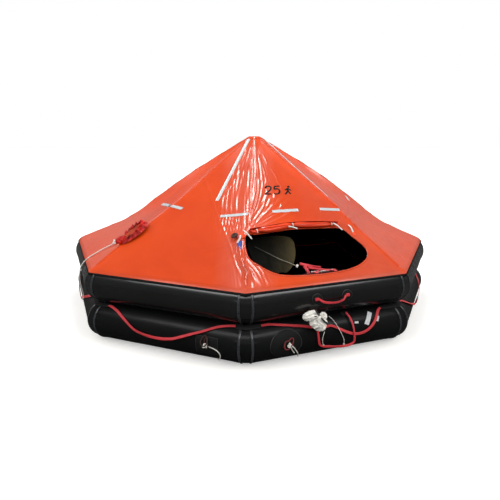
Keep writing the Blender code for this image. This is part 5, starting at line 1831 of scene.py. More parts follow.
inside_strap("inner_strap_top", [(299.6, 263.6, -.112), (306, 265.0, -.116), (312, 266.4, -.120),
                                 (320.5, 267.4, -.125)], .026, M_WEB, twist=.5)
inside_strap("inner_strap_down", [(304.0, 265.0, -.118), (306.4, 269.0, -.124),
                                  (309.8, 275.2, -.132)], .030, M_WEB, twist=.3)
inside_strap("inner_strap_long", [(308.5, 267.6, -.122), (316, 268.4, -.130), (326, 270.2, -.140),
                                  (336.0, 271.4, -.150)], .024, M_WEB, twist=.7)
inside_strap("inner_strap_pale", [(311.0, 272.2, -.120), (322, 270.9, -.125),
                                  (333.0, 269.4, -.130)], .013, M_CORD, thick=.004)

# the line round the inside of the tubes, as a flat strap held at each corner
inner = []
ups = []
for k in range(SIDES):
    for i in range(40):
        u = i / 40
        dip = math.sin(math.pi * u)
        inner.append(on_tube(k, u, 0, -(.120 + .085 * dip), .38 - .085 * dip))
        ups.append(-normal(k) * 1.0 + UP * .15 * math.sin(u * 19 + k))
inner = np.array(inner)
ups = unit(np.array(ups))
for _ in range(3):
    ups = unit(np.roll(ups, 1, 0) + ups + np.roll(ups, -1, 0))
v, f, uv = ribbon_mesh(inner, ups, .0225, .003, across=3, closed=True)
piece("inner_lifeline_webbing", v, f, M_WEB, uvs=uv, replaces="inner_lifeline")
for k in range(SIDES):
    at = on_tube(k, 0, 0, -.150, .380)
    c = unit(corner_dir(k))
    e1 = unit(np.cross(UP, c))
    rows = []
    for j in range(8):
        for i in range(10):
            x, y = 2 * i / 9 - 1, 2 * j / 7 - 1
            x, y = x * math.sqrt(1 - y * y / 3), y * math.sqrt(1 - x * x / 3)
            # lies in the groove between the tubes
            rows.append(at + c * (.018 + .030 * y * y) + e1 * x * .060 + UP * y * .060)
    rows = np.array(rows)
    v = np.vstack([rows, rows + c * .003])
    f = [tuple(q) for q in grid_faces(10, 8)] + [tuple(q) for q in grid_faces(10, 8, flip=True, offset=80)]
    for i in range(9):
        f += [(i, i + 80, i + 81, i + 1), (70 + i, 71 + i, 151 + i, 150 + i)]
    for j in range(7):
        a, b = j * 10, j * 10 + 10
        f += [(a, b, b + 80, a + 80), (a + 9, a + 89, b + 89, b + 9)]
    piece("inner_lifeline_patch_%d" % k, v, f, M_PATCH)

# ------------------------------------------------------------------ free cords
CORD_R = .003
CORD_RAD = LINE_RAD + .0105


def knot(name, at, size, axis, mat, seed=0, replaces=()):
    """An overhand knot: a tight trefoil of the line."""
    ax = unit(np.asarray(axis, float))
    e1 = unit(np.cross(ax, UP if abs(ax[2]) < .9 else np.array((1., 0, 0))))
    e2 = np.cross(ax, e1)
    q = np.linspace(0, 2 * math.pi, 60, endpoint=False)
    x = np.sin(q) + 2 * np.sin(2 * q)
    y = np.cos(q) - 2 * np.cos(2 * q)
    z = -np.sin(3 * q)
    p = np.asarray(at) + (e1[None, :] * x[:, None] + e2[None, :] * y[:, None]) * size / 3 \
        + ax[None, :] * z[:, None] * size * .42
    v, f, uv = tube_mesh(p, size * .40, around=8, closed=True)
    uv[:, 0] *= .6
    return piece(name, v, f, mat, uvs=uv, replaces=replaces)


def free_cord(name, node_name, path, diameter, mat, exit_at=None,
              step=.004, around=10):
    line = resample(path, step)
    v, f, uv = tube_mesh(line, diameter / 2, around=around)
    obj = piece(name, v, f, mat, uvs=uv, replaces=node_name)
    length = float(np.linalg.norm(np.diff(line, axis=0), axis=1).sum())
    CORD_LENGTHS[name] = length
    return obj, line


CORD_LENGTHS = {}

# pale rope inside the entrance
INNER_LINE = [(-.54, .605, -.070), (-.44, .505, -.068), (-.35, .420, -.070), (-.27, .360, -.071),
              (-.20, .320, -.084)]
path = spline([on_panel(0, s, h, z) for s, h, z in INNER_LINE], 4)
kn = knot("inner_line_knot", path[-1], .013, path[-1] - path[-2], M_CORD, seed=2)
free_cord("inner_rope", "inner_line", path, .008, M_ROPE)

# white bag, strapped where the tubes meet
T0, N0 = tangent(0), normal(0)
bag_at = on_tube(0, .395, 0, .228, LOWER_Z + .170) + UP * .048 - T0 * .016 + N0 * .006
ca, sa = math.cos(math.radians(32)), math.sin(math.radians(32))
BX = T0 * ca - UP * sa
BZ = T0 * sa + UP * ca
BY = np.cross(BZ, BX)


def bag_lobe(name, centre, axes, radii, seed, dimple=None, nu=72, nv=48, replaces=()):
    verts = []
    for j in range(nv + 1):
        th = math.pi * j / nv
        for i in range(nu):
            ph = 2 * math.pi * i / nu
            dv = np.array((math.sin(th) * math.cos(ph), math.sin(th) * math.sin(ph), math.cos(th)))
            n1 = float(fbm(dv * 1.5 + seed, 2, seed))
            n2 = abs(float(lattice(dv * 2.5 + seed * 2.0, seed + 1)))
            n3 = abs(float(lattice(dv * 5.6 + seed, seed + 5)))
            n4 = (1 - min(1.0, abs(float(lattice(dv * 3.1 + seed * 3.0, seed + 9))) * 6)) ** 2
            r = 1 + .16 * n1 - .40 * n2 - .15 * n3 - .13 * n4 + .17
            sx, sy, sz = dv
            # squarer than an egg: a folded bag
            g = (abs(sx) ** 3.2 + abs(sy) ** 3.2 + abs(sz) ** 3.2) ** (1 / 3.2)
            dv2 = dv / (g ** .55)
            if dimple is not None:
                for dd_, depth_, wid_ in dimple:
                    r -= depth_ * math.exp(-((1 - float(dv @ unit(np.array(dd_, float)))) / wid_))
            verts.append(centre + axes[0] * dv2[0] * radii[0] * r + axes[1] * dv2[1] * radii[1] * r
                         + axes[2] * dv2[2] * radii[2] * r)
    faces = [tuple(q) for q in grid_faces(nu, nv + 1, close_u=True, flip=True)]
    v, f, _ = weld(np.array(verts), faces, .0002)
    return piece(name, v, f, M_BAG, replaces=replaces)


main_at = bag_at + T0 * .030 - UP * .036
bag_main = bag_lobe("line_bag_main", main_at, (BX, BY, BZ), (.076, .048, .060), 3,
                    dimple=[((.2, -1, -.8), .18, .03), ((-.4, -1, .3), .14, .02)],
                    replaces="line_bag")
left_at = bag_at - T0 * .054 + UP * .044
bag_left = bag_lobe("line_bag_flap", left_at, (T0 * .97 + UP * .24, BY, UP * .97 - T0 * .24),
                    (.066, .034, .036), 8, dimple=[((.72, -1, .05), .42, .035)])
# a corner of the bag behind the strap
bag_corner = bag_lobe("line_bag_corner", bag_at + T0 * .072 + UP * .022, (BX, BY, BZ),
                      (.036, .024, .034), 13)
# the bag's open mouth: a black disc set in it as painted shade for the recess
a = np.linspace(0, 2 * math.pi, 26, endpoint=False)
mouth = np.array([left_at + T0 * .030 + BY * -.0345 + T0 * math.cos(x) * .023 * (1 + .2 * math.sin(3 * x))
                  + UP * math.sin(x) * .0100 * (1 + .25 * math.cos(2 * x)) for x in a])
mv = np.vstack([mouth, (mouth + N0 * -.0 - N0 * .012)])
back = np.array([p - (-BY) * 0 for p in mouth])
mouth_in = mouth + BY * .016
f = [tuple(range(26))]
v, f2, uv = tube_mesh(np.vstack([mouth[:1]]), .001) if False else (mouth, f, None)
lip_v, lip_f, lip_uv = tube_mesh(mouth, .0034, around=8, closed=True)
piece("line_bag_lip", lip_v, lip_f, M_BAG)
disc = np.vstack([mouth + BY * .0005, (mouth.mean(0) + BY * .010)[None, :]])
fd = [(i, (i + 1) % 26, 26) for i in range(26)]
piece("line_bag_mouth", disc, fd, M_BLACK_WEB, uvs=np.zeros((27, 2)))

# black strap over the bag, pressed on it
BAG_TREE = None
bv, bf = [], []
off = 0
for o in (bag_main, bag_left, bag_corner):
    vv = np.array([tuple(v.co) for v in o.data.vertices])
    bv.append(vv)
    bf += [tuple(int(i) + off for i in p.vertices) for p in o.data.polygons]
    off += len(vv)
BAG_TREE = surface_of(np.vstack(bv), bf)


def over_bag(points, width, name, lift=.0022, thick=.0022, mat=None):
    out = []
    for x, y in points:
        p = cast(x, y, BAG_TREE)
        if p is None:
            w = sight(x, y)
            p = CAM + w * (((bag_at + N0 * .035 - CAM) @ N0) / (w @ N0))
        out.append(p)
    out = np.array(out)
    out = spline(out, 6)
    line = resample(out, .004)
    for _ in range(3):
        line[1:-1] = (line[:-2] + 2 * line[1:-1] + line[2:]) / 4
    line = line + N0 * lift
    v, f, uv = ribbon_mesh(line, np.tile(N0 + UP * .2, (len(line), 1)), width, thick, across=3)
    return piece(name, v, f, mat or M_BLACK_WEB, uvs=uv)


over_bag([(315.0, 309.6), (316.6, 312.2), (319.0, 315.4), (321.6, 318.6), (324.0, 321.2), (326.6, 323.0)],
         .017, "line_bag_strap", lift=.012)

# lines from the bag
BAG_CORDS = {
    "bag_cord_long": [(.505, 58), (.520, 45), (.535, 28), (.552, 10), (.570, -8), (.578, -24)],
    "bag_cord_short": [(.452, 20), (.440, 8), (.437, -4), (.446, -16)],
}
for name, tab in BAG_CORDS.items():
    path = spline([on_tube(0, f, ps, CORD_RAD, LOWER_Z) for f, ps in tab], 4)
    kn = knot(name + "_knot", path[-1], .0075, path[-1] - path[-2], M_CORD)
    free_cord(name + "_line", name, path, .006, M_CORD)

# ------------------------------------------------- towing patches, loops, lines
TOW_RAD = TUBE_RIM + .006
# left: square patch with folded loops, and a pale rim that is a painted highlight
wrap_patch("tow_patch_left_rim", 7, .777 - .066, .777 + .066, -31, 23, LOWER_Z, .0018,
           M_PATCH_RIM_PAINTED_HIGHLIGHT, nu=26, nv=24, round_it=.12)
wrap_patch("tow_patch_left", 7, .777 - .0645, .777 + .0645, -30.3, 22.3, LOWER_Z, .0032, M_PATCH,
           nu=26, nv=24, round_it=.12)
wrap_patch("tow_patch_left_top", 7, .775 - .040, .775 + .040, -15, 17, LOWER_Z, .0052, M_PATCH,
           nu=20, nv=18, round_it=.1)
# right: round patch with a pale rim, a painted highlight
wrap_patch("tow_patch_right_rim", 0, .228 - .092, .228 + .092, -40, 42, LOWER_Z, .0018,
           M_PATCH_RIM_PAINTED_HIGHLIGHT, nu=34, nv=34, round_it=1.0)
wrap_patch("tow_patch_right", 0, .228 - .0890, .228 + .0890, -38.8, 40.8, LOWER_Z, .0032, M_PATCH,
           nu=34, nv=34, round_it=1.0)
wrap_patch("tow_patch_right_top", 0, .236 - .040, .236 + .040, -13, 21, LOWER_Z, .0054, M_PATCH,
           nu=22, nv=20, round_it=1.0)


TOW_SHIFT = {7: (-.017, 1), 0: (.036, 6)}


def loop_line(name, k, points, radius, mat, zc=LOWER_Z, closed=False, replaces=(), around=8):
    """A line through fraction, degrees and stand-off over a tube."""
    df, dp = TOW_SHIFT[k]
    points = [(f + df, ps + dp, off) for f, ps, off in points]
    pts = spline(np.array([on_tube(k, f, ps, TUBE_RIM + off, zc) for f, ps, off in points]), 8,
                 closed=closed)
    pts = resample(pts, .004, closed=closed)
    v, f, uv = tube_mesh(pts, radius, around=around, closed=closed)
    return piece(name, v, f, mat, uvs=uv, replaces=replaces)


loop_line("tow_loop_left", 7, [(.770, 16, .006), (.762, 6, .020), (.775, -3, .030), (.795, 2, .034),
          (.803, 13, .026), (.792, 22, .012), (.780, 22, .006)], .0052, M_BROWN, closed=True,
          replaces="tow_ring_left")
loop_line("tow_loop_left_under", 7, [(.790, 18, .005), (.800, 8, .018), (.806, -2, .026),
          (.797, -8, .026), (.786, 0, .016), (.784, 12, .008)], .0048, M_BROWN, closed=True)
M_DEEP_RED = mat_braid("red_loop_look", (0.08, 0.005, 0.006), (0.26, 0.012, 0.014))
loop_line("tow_loop_right", 0, [(.188, 4, .008), (.178, -6, .018), (.186, -14, .026),
          (.205, -12, .032), (.224, -2, .028), (.231, 8, .016), (.222, 11, .008), (.205, 5, .006)],
          .0060, M_DEEP_RED, closed=True, replaces="tow_ring_right")
for tag, k, table in (("left", 7, [(.792, -4), (.825, -6), (.852, -11), (.871, -22), (.868, -38),
                                   (.852, -54), (.842, -68)]),
                      ("right", 0, [(.214, -8), (.232, -13), (.250, -24), (.266, -38), (.276, -52),
                                    (.284, -68)])):
    df, dp = TOW_SHIFT[k]
    table = [(g + df, p + dp * (1 - i / 6)) for i, (g, p) in enumerate(table)]
    path = spline([on_tube(k, g, p, TOW_RAD, LOWER_Z) for g, p in table], 4)
    f0, p0 = table[0]
    kn = knot("tow_knot_" + tag, on_tube(k, f0 - .004, p0 + 2, TUBE_RIM + .020, LOWER_Z), .0190,
              normal(k) + UP * .3, M_CORD)
    free_cord("tow_line_" + tag, "tow_cord_" + tag, path, .010, M_CORD)
# the second short end of the right line
short = [(.216, -10, .013), (.226, -20, .010), (.236, -28, .008), (.243, -33, .008)]
pts = spline(np.array([on_tube(0, f + TOW_SHIFT[0][0], ps + 4, TUBE_RIM + off, LOWER_Z)
                       for f, ps, off in short]), 6)
v, f, uv = tube_mesh(resample(pts, .004), .0045, around=8)
piece("tow_line_right_end", v, f, M_CORD, uvs=uv)

# ------------------------------------------------------ the lookout's drawcord
DRAWCORD_TOP = [(.545, .385, .012), (.500, .335, .007), (.465, .290, .007), (.430, .225, .007),
                (.405, .150, .007), (.385, .095, .007)]
DRAWCORD_LOW = [(.735, 52, 0.), (.725, 38, .002), (.712, 22, .004), (.705, 6, .006),
                (.702, -10, .012), (.700, -24, .028)]
pts = [on_panel(6, s, h, z) for s, h, z in DRAWCORD_TOP]
pts += [on_tube(6, f, ps, HEM_R + .006 + off, UPPER_Z) for f, ps, off in DRAWCORD_LOW]
pts += [on_tube(6, .690, 34, LINE_RAD + .030, LOWER_Z), on_tube(6, .680, 20, LINE_RAD + .018, LOWER_Z)]
path = spline(np.array(pts), 4)
kn = knot("lookout_knot", path[0] - unit(path[1] - path[0]) * .002 + UP * .006, .022,
          path[1] - path[0], M_CORD)
free_cord("lookout_drawcord", "lookout_cord", path, .012, M_CORD)

# ------------------------------------------------------------------ blank label
def tube_quad(name, k, corners, lift, mat, zc=LOWER_Z, n=12):
    """A thin print on a tube between four places of the photo's frame."""
    tl, tr, br, bl = [cast(x, y, LOWER_TREE) for x, y in corners]
    rows = []
    for j in range(n):
        g = j / (n - 1)
        for i in range(n):
            h = i / (n - 1)
            p = (tl * (1 - h) + tr * h) * (1 - g) + (bl * (1 - h) + br * h) * g
            hit = LOWER_TREE.find_nearest(Vector(p))
            at, out = np.array(hit[0]), np.array(hit[1])
            if out @ (CAM - at) < 0:
                out = -out
            rows.append(at + out * lift)
    return piece(name, rows, grid_faces(n, n, flip=True), mat)


LOWER_TREE = surface_of(lower_v, lower_f)
LABEL_QUADS = [("label_blank", [(367.6, 311.2), (371.8, 313.0), (368.6, 325.2), (364.4, 323.6)]),
               ("label_dash", [(354.6, 321.6), (358.4, 321.2), (358.5, 323.2), (354.7, 323.6)]),
               ("label_spot", [(375.4, 315.2), (379.2, 316.0), (378.2, 321.4), (374.8, 320.4)])]
for name, quad in LABEL_QUADS:
    probe = cast(*np.mean(quad, axis=0), LOWER_TREE)
    if probe is None:
        print("label misses", name)
        continue
    obj = tube_quad(name, 1, quad, .0011, M_LABEL)

# ------------------------------------------------- glued seams of the corners
# the welts are grey, much lighter than the black rubber: a painted highlight along each corner seam
M_WELT_PAINTED_HIGHLIGHT = mat_coated("seam_welt_look", (0.022, 0.025, 0.030), (0.046, 0.051, 0.060),
                    rough=(0.22, 0.34), specular=0.5, coat=0.5, coat_rough=0.12, creases=0.1,
                    crease_size=20.0, blotch=6.0)
for tag, zc in (("lower", LOWER_Z), ("upper", UPPER_Z)):
    parts = []
    for k in range(SIDES):
        for side in ((k - 1) % SIDES, k):
            mid, way = mitre(k, side)
            a = np.linspace(0, 2 * math.pi, 84, endpoint=False)
            r = TUBE_R - .0045
            p = mid[None, :] + way[None, :] * (r * np.cos(a))[:, None]
            p[:, 2] = zc + r * np.sin(a)
            o = way[None, :] * np.cos(a)[:, None]
            o[:, 2] = np.sin(a)
            v, f, uv = tube_mesh(p, .0115, around=12, ups=unit(o), closed=True, squash=.75)
            v[:, 2] = np.maximum(v[:, 2], 0.0)
            parts.append((v, f, uv))
    v, f, uv, _ = join(parts)
    piece(tag + "_tube_seams", v, f, M_WELT_PAINTED_HIGHLIGHT)


def cloth_area(obj):
    return sum(p.area for p in obj.data.polygons)


def scan_cloth(name, outline, place, thick, mat, replaces=(), body="raft", nu=70, nv=70,
               grow=0.0):
    """A thin closed cloth inside an outline of (s, h); place(s, h) gives its middle
    point and the way it faces."""
    out = np.asarray(outline)
    h0, h1 = out[:, 1].min() + 1e-4, out[:, 1].max() - 1e-4
    hs = (h0 + h1) / 2 - (h1 - h0) / 2 * np.cos(np.linspace(0, math.pi, nv))
    top, low, uv = [], [], []
    nxt = np.roll(out, -1, axis=0)
    for h in hs:
        cross = []
        for (a, b), (c, e) in zip(out, nxt):
            if (b > h) != (e > h):
                cross.append(a + (c - a) * (h - b) / (e - b))
        s0, s1 = min(cross), max(cross)
        for s in (s0 + s1) / 2 - (s1 - s0) / 2 * np.cos(np.linspace(0, math.pi, nu)):
            p, n = place(s, h)
            top.append(p + n * thick / 2)
            low.append(p - n * thick / 2)
            uv.append((s, h))
    N = nu * nv
    faces = [tuple(q) for q in grid_faces(nu, nv)]
    faces += [tuple(q) for q in grid_faces(nu, nv, flip=True, offset=N)]
    for i in range(nu - 1):
        faces.append((i, i + N, i + 1 + N, i + 1))
        e = (nv - 1) * nu + i
        faces.append((e, e + 1, e + 1 + N, e + N))
    for j in range(nv - 1):
        a, b = j * nu, (j + 1) * nu
        faces.append((a, b, b + N, a + N))
        a, b = j * nu + nu - 1, (j + 1) * nu + nu - 1
        faces.append((a, a + N, b + N, b))
    return piece(name, np.array(top + low), faces, mat, replaces=replaces, body=body,
                 uvs=np.array(uv + uv))


# ------------------------------------------------------- curtain inside the door
CURTAIN = [(-.56, .70), (-.60, .50), (-.56, .34), (-.44, .27), (-.30, .29), (-.20, .40),
           (-.13, .55), (-.13, .70), (-.34, .74)]


def curtain_place(s, h):
    down = smoothstep(.74, .30, h)
    z = -.088 + .010 * down * math.sin(s * 31 + 3 * math.sin(h * 9)) \
        + .006 * down * math.sin(s * 67 + 5 * h) + .004 * float(lattice(np.array((s * 9, h * 7, 1.0)), 6))
    return on_panel(0, s, h, z), FZ


curtain = scan_cloth("inner_curtain_cloth", spline(CURTAIN, 8, closed=True), curtain_place, .003,
                     M_CURTAIN, replaces="inner_curtain")
edge = resample(spline(CURTAIN, 8, closed=True), .012, closed=True)
line = np.array([curtain_place(s, h)[0] for s, h in edge])
v, f, uv = ribbon_mesh(line, np.tile(FZ, (len(line), 1)), .012, .0050, across=3, closed=True)
piece("inner_curtain_hem", v, f, M_CURTAIN, uvs=uv)

# -------------------------------------------------------------- canopy's arch
ARCH_LEG = [(.453, 1.565), (.80, 1.335), (1.106, 1.112), (1.305, .940), (1.50, .750), (1.63, .60),
            (1.69, .47)]
pts = ([(-x, 0, z) for x, z in reversed(ARCH_LEG)] + [(APEX_X / 2, 0, 1.845)]
       + [(x + .02 * (z > .9), 0, z) for x, z in ARCH_LEG])
arch = resample(spline(np.array(pts, float), 8), .028)
n = len(arch)
a = np.linspace(0, 2 * math.pi, 40, endpoint=False)
dd = np.concatenate([[0], np.cumsum(np.linalg.norm(np.diff(arch, axis=0), axis=1))])
rad = np.full((n, 40), .0892)
bend = np.zeros(n)
tt = unit(np.gradient(arch, axis=0))
bend[1:-1] = np.linalg.norm(tt[2:] - tt[:-2], axis=1) / .056
for i in range(n):
    # the inside of each bend gathers
    rad[i] -= .0035 * min(bend[i], 1.2) * (1 + np.sin(dd[i] * 190)) * (0.5 - 0.5 * np.sin(a))
    rad[i] += .0006 * np.sin(a * 5 + dd[i] * 4)
v, f, uv = tube_mesh(arch, rad, around=40, ups=np.tile((0, 0, 1.0), (n, 1)))
piece("arch_tube_shell", v, f, M_TUBE, replaces="arch_tube")
parts = []
for q in (.33, .97, 1.62, dd[-1] / 2, dd[-1] - 1.62, dd[-1] - .97, dd[-1] - .33):
    i = int(np.argmin(np.abs(dd - q)))
    c, t0 = arch[i], tt[i]
    e1 = np.array((0, 1.0, 0))
    e2 = np.cross(t0, e1)
    ring = np.array([c + (e1 * math.cos(x) + e2 * math.sin(x)) * .0905 for x in
                     np.linspace(0, 2 * math.pi, 48, endpoint=False)])
    parts.append(ribbon_mesh(ring, unit(ring - c), .032, .0022, across=3, closed=True))
v, f, uv, _ = join(parts)
piece("arch_tube_tapes", v, f, M_PATCH, uvs=uv)

# -------------------------------------------------------------------- floor
FLOOR_APOTHEM = 1.738
B_AT = normal(2) * 1.30
B_DIR = tangent(2)
na, nr = 192, 74
top = []
for j in range(nr + 1):
    g = (j / nr)
    for i in range(na):
        th = 2 * math.pi * i / na
        # eight-sided edge, rounder towards the middle
        w = (th - math.radians(-90)) % (math.pi / 4) - math.pi / 8
        edge = FLOOR_APOTHEM / math.cos(w)
        rr_ = g * (FLOOR_APOTHEM * (1 - g) + edge * g)
        x, y = rr_ * math.cos(th), rr_ * math.sin(th)
        top.append((x, y))
top = np.array(top)
rel = top - B_AT[:2]
along = np.clip(rel @ B_DIR[:2], -.33, .33)
q = np.linalg.norm(rel - along[:, None] * B_DIR[None, :2], axis=1)
bump = np.where(q < .124, .024 + np.sqrt(np.maximum(.124 ** 2 - q ** 2, 0)), 0)
skirt_h = np.where((q >= .118) & (q < .20), .030 * (1 - smoothstep(.118, .20, q)), 0)
hgt = np.maximum(np.where(q < .124, bump, 0), skirt_h)
waves = .0035 * fbm(np.stack([top[:, 0] * 2.1, top[:, 1] * 2.1, np.zeros(len(top))], -1), 3, 61)
pulls = .0022 * np.sin(np.arctan2(rel[:, 1], rel[:, 0]) * 22) * np.exp(-((q - .17) / .09) ** 2)
rimf = smoothstep(1.0, .94, np.repeat(np.arange(nr + 1) / nr, na))
z = .0460 + hgt + (waves + pulls) * rimf * (q > .12)
v1 = np.column_stack([top, z])
zl = np.maximum(z - .0118, .0345)
zl = np.where(q < .118, .0700 - .0 + np.sqrt(np.maximum(.1125 ** 2 - np.minimum(q, .112) ** 2, 0)), zl)
zl = np.minimum(zl, z - .0100)
v2 = np.column_stack([top, zl])
N = len(v1)
faces = [tuple(qd) for qd in grid_faces(na, nr + 1, close_u=True, flip=False)][na:]
faces_low = [tuple(x + N for x in qd[::-1]) for qd in faces]
rim = [(nr * na + i, nr * na + N + i, nr * na + N + (i + 1) % na, nr * na + (i + 1) % na)
       for i in range(na)]
rim = [qd[::-1] for qd in rim]
cap = [tuple(range(na, 2 * na)), tuple(x + N for x in range(na, 2 * na))[::-1]]
floor_obj = piece("floor_cloth", np.vstack([v1, v2]), faces + faces_low + rim + cap, M_FLOORCLOTH,
                  replaces="floor", sharp=60)
# tape along the floor's edge, on the tube
ring = []
ups = []
for k in range(SIDES):
    for i in range(24):
        f = i / 24
        ring.append(on_tube(k, f, 180 + 52, TUBE_R + .0012, LOWER_Z))
        ups.append(tube_normal(k, 180 + 52))
ring = np.array(ring)
ups = np.array(ups)
for _ in range(2):
    ups = unit(np.roll(ups, 1, 0) + ups + np.roll(ups, -1, 0))
v, f, uv = ribbon_mesh(ring, ups, .040, .0022, across=3, closed=True)
piece("floor_edge_tape", v, f, M_PATCH, uvs=uv)

# ------------------------------------------------------------ ballast pockets
M_POCKET = mat_coated("pocket_look", (0.030, 0.028, 0.020), (0.060, 0.055, 0.038),
                      rough=(0.5, 0.7), specular=0.35, creases=0.8, crease_size=16.0, weave=0.4,
                      blotch=5.0)
for tag, k in (("front", 7), ("right", 1), ("rear", 3), ("left", 5)):
    c = normal(k) * 1.30 + UP * .020
    e1, e2 = tangent(k), normal(k)
    nu, nv = 56, 40
    top, low, uv = [], [], []
    for j in range(nv):
        y = -math.cos(math.pi * j / (nv - 1))
        for i in range(nu):
            x = -math.cos(math.pi * i / (nu - 1))
            full = ((1 - x ** 6) * (1 - y ** 6)) ** .5
            pinch = 1 - .05 * (1 - y * y) * x * x - .04 * (1 - x * x) * y * y
            wr = .0022 * math.sin(x * 17 + 3 * math.sin(y * 5)) * full \
                + .0015 * float(lattice(np.array((x * 5, y * 4, k)), 31))
            p = c + e1 * x * .228 * (1 - .02 * (1 - y * y)) + e2 * y * .148 * pinch
            top.append(p + UP * (.0012 + .0068 * full + wr * .5))
            low.append(p - UP * (.0012 + .0066 * full + wr))
            uv.append((x * .23, y * .15))
    N = nu * nv
    f = [tuple(qd) for qd in grid_faces(nu, nv)] + [tuple(qd) for qd in grid_faces(nu, nv, flip=True, offset=N)]
    for i in range(nu - 1):
        f += [(i, i + N, i + 1 + N, i + 1), ((nv - 1) * nu + i, (nv - 1) * nu + i + 1,
                                             (nv - 1) * nu + i + 1 + N, (nv - 1) * nu + i + N)]
    for j in range(nv - 1):
        a_, b_ = j * nu, (j + 1) * nu
        f += [(a_, b_, b_ + N, a_ + N), (a_ + nu - 1, a_ + nu - 1 + N, b_ + nu - 1 + N, b_ + nu - 1)]
    v = np.array(top + low)
    obj = piece("ballast_pocket_%s_cloth" % tag, v, f, M_POCKET,
                replaces="ballast_pocket_" + tag, uvs=np.array(uv + uv))
    # bound edge, and four corner straps on the floor
    edge = [(-1, -1), (-.5, -1.02), (0, -1.0), (.5, -1.02), (1, -1), (1.0, 0), (1, 1), (.5, 1.02),
            (0, 1.0), (-.5, 1.02), (-1, 1), (-1.0, 0)]
    pts = np.array([c + e1 * x * .226 + e2 * y * .146 for x, y in
                    resample(np.array(edge + [edge[0]], float), .05)])
    v, f, uv = ribbon_mesh(pts, np.tile(UP, (len(pts), 1)), .020, .0040, across=3)
    piece("ballast_pocket_%s_binding" % tag, v, f, M_BLACK_WEB, uvs=uv)
    parts = []
    for sx in (-1, 1):
        for sy in (-1, 1):
            p0 = c + e1 * sx * .212 + e2 * sy * .134 - UP * .0015
            p1 = c + e1 * sx * .262 + e2 * sy * .176 + UP * .0105
            l_ = resample(spline([p0, (p0 + p1) / 2 + UP * .0035, p1], 8), .006)
            parts.append(ribbon_mesh(l_, np.tile(-UP, (len(l_), 1)), .025, .0024, across=2))
    v, f, uv, _ = join(parts)
    piece("ballast_pocket_%s_straps" % tag, v, f, M_BLACK_WEB, uvs=uv)

# ------------------------------------------------------------ righting strap
ys = np.arange(-1.62, 1.6201, .012)
path = np.array([(.0016 * math.sin(y * 7), y, .0270 + .0009 * math.sin(y * 23)) for y in ys])
v, f, uv = ribbon_mesh(path, np.tile(UP, (len(path), 1)), .0445, .0038, across=4)
piece("righting_strap_webbing", v, f, M_WEB, uvs=uv, replaces="righting_strap")
parts = []
for y in (-1.60, -.8, 0, .8, 1.60):
    p = np.array([(-.058, y, .0315), (-.03, y, .0312), (-.024, y, .0243), (.024, y, .0243),
                  (.03, y, .0312), (.058, y, .0315)])
    l_ = resample(p, .006)
    parts.append(ribbon_mesh(l_, np.tile(UP, (len(l_), 1)), .050, .0024, across=2))
v, f, uv, _ = join(parts)
piece("righting_strap_loops", v, f, M_BLACK_WEB, uvs=uv)

# -------------------------------------------------------------- relief valves


def lathe(name, at, axis, profile, mat, around=36, replaces=(), ribs=0, sharp=None):
    ax = unit(np.asarray(axis, float))
    e1 = unit(np.cross(ax, UP if abs(ax[2]) < .9 else np.array((1., 0, 0))))
    e2 = np.cross(ax, e1)
    verts = []
    for r, z in profile:
        for i in range(around):
            th = 2 * math.pi * i / around
            rr_ = r * (1 + (.035 * (i % 2) if ribs and r > .012 and z > .007 else 0))
            verts.append(at + (e1 * math.cos(th) + e2 * math.sin(th)) * rr_ + ax * z)
    f = [tuple(qd) for qd in grid_faces(around, len(profile), close_u=True)]
    f.append(tuple(range((len(profile) - 1) * around, len(profile) * around)))
    f.append(tuple(range(around))[::-1])
    return piece(name, verts, f, mat, replaces=replaces, sharp=sharp)


VALVE = [(.030, -.0080), (.030, -.0052), (.0285, -.0035), (.0205, -.0030), (.0195, .0010),
         (.0190, .0052), (.0200, .0070), (.0200, .0078), (.0175, .0080), (.0150, .0066),
         (.0100, .0064), (.0085, .0076), (.0010, .0078)]
for tag, k, f0, zc in (("upper", 3, .5, UPPER_Z), ("lower", 5, .20, LOWER_Z)):
    at = on_tube(k, f0, 0, TUBE_RIM + .0085, zc)
    lathe("relief_valve_%s_body" % tag, at, normal(k), VALVE, M_VALVE,
          replaces="relief_valve_" + tag, ribs=1, sharp=40)
    wrap_patch("relief_valve_%s_patch" % tag, k, f0 - .036, f0 + .036, -17, 17, zc, .0024, M_PATCH,
               nu=22, nv=20, round_it=1.0)
    cord_pts = [at + normal(k) * .004 - UP * .020, at + normal(k) * .012 - UP * .038,
                at + normal(k) * .006 - UP * .056 + tangent(k) * .012]
    v, f, uv = tube_mesh(resample(spline(np.array(cord_pts), 8), .004), .0016, around=6)
    piece("relief_valve_%s_lanyard" % tag, v, f, M_BLACK_WEB, uvs=uv)

# ------------------------------------------------- gas bottle, kept from CAD
for nm, mt in (("gas_cylinder", M_STEEL), ("cylinder_valve", M_BRASS)):
    o = bpy.data.objects.get(nm)
    if o is not None:
        if not o.material_slots:
            o.data.materials.append(mt)
        for sl in o.material_slots:
            sl.material = mt
bz = B_AT + UP * .091
ring = np.array([bz + B_DIR * 0 + normal(2) * math.cos(x) * .0862 + UP * math.sin(x) * .0862
                 for x in np.linspace(0, 2 * math.pi, 48, endpoint=False)])
parts = []
for q in (-.17, .17):
    rg = ring + B_DIR * q
    parts.append(ribbon_mesh(rg, unit(rg - (bz + B_DIR * q)), .040, .0026, across=3, closed=True))
v, f, uv, _ = join(parts)
piece("gas_cylinder_straps", v, f, M_BLACK_WEB, uvs=uv)

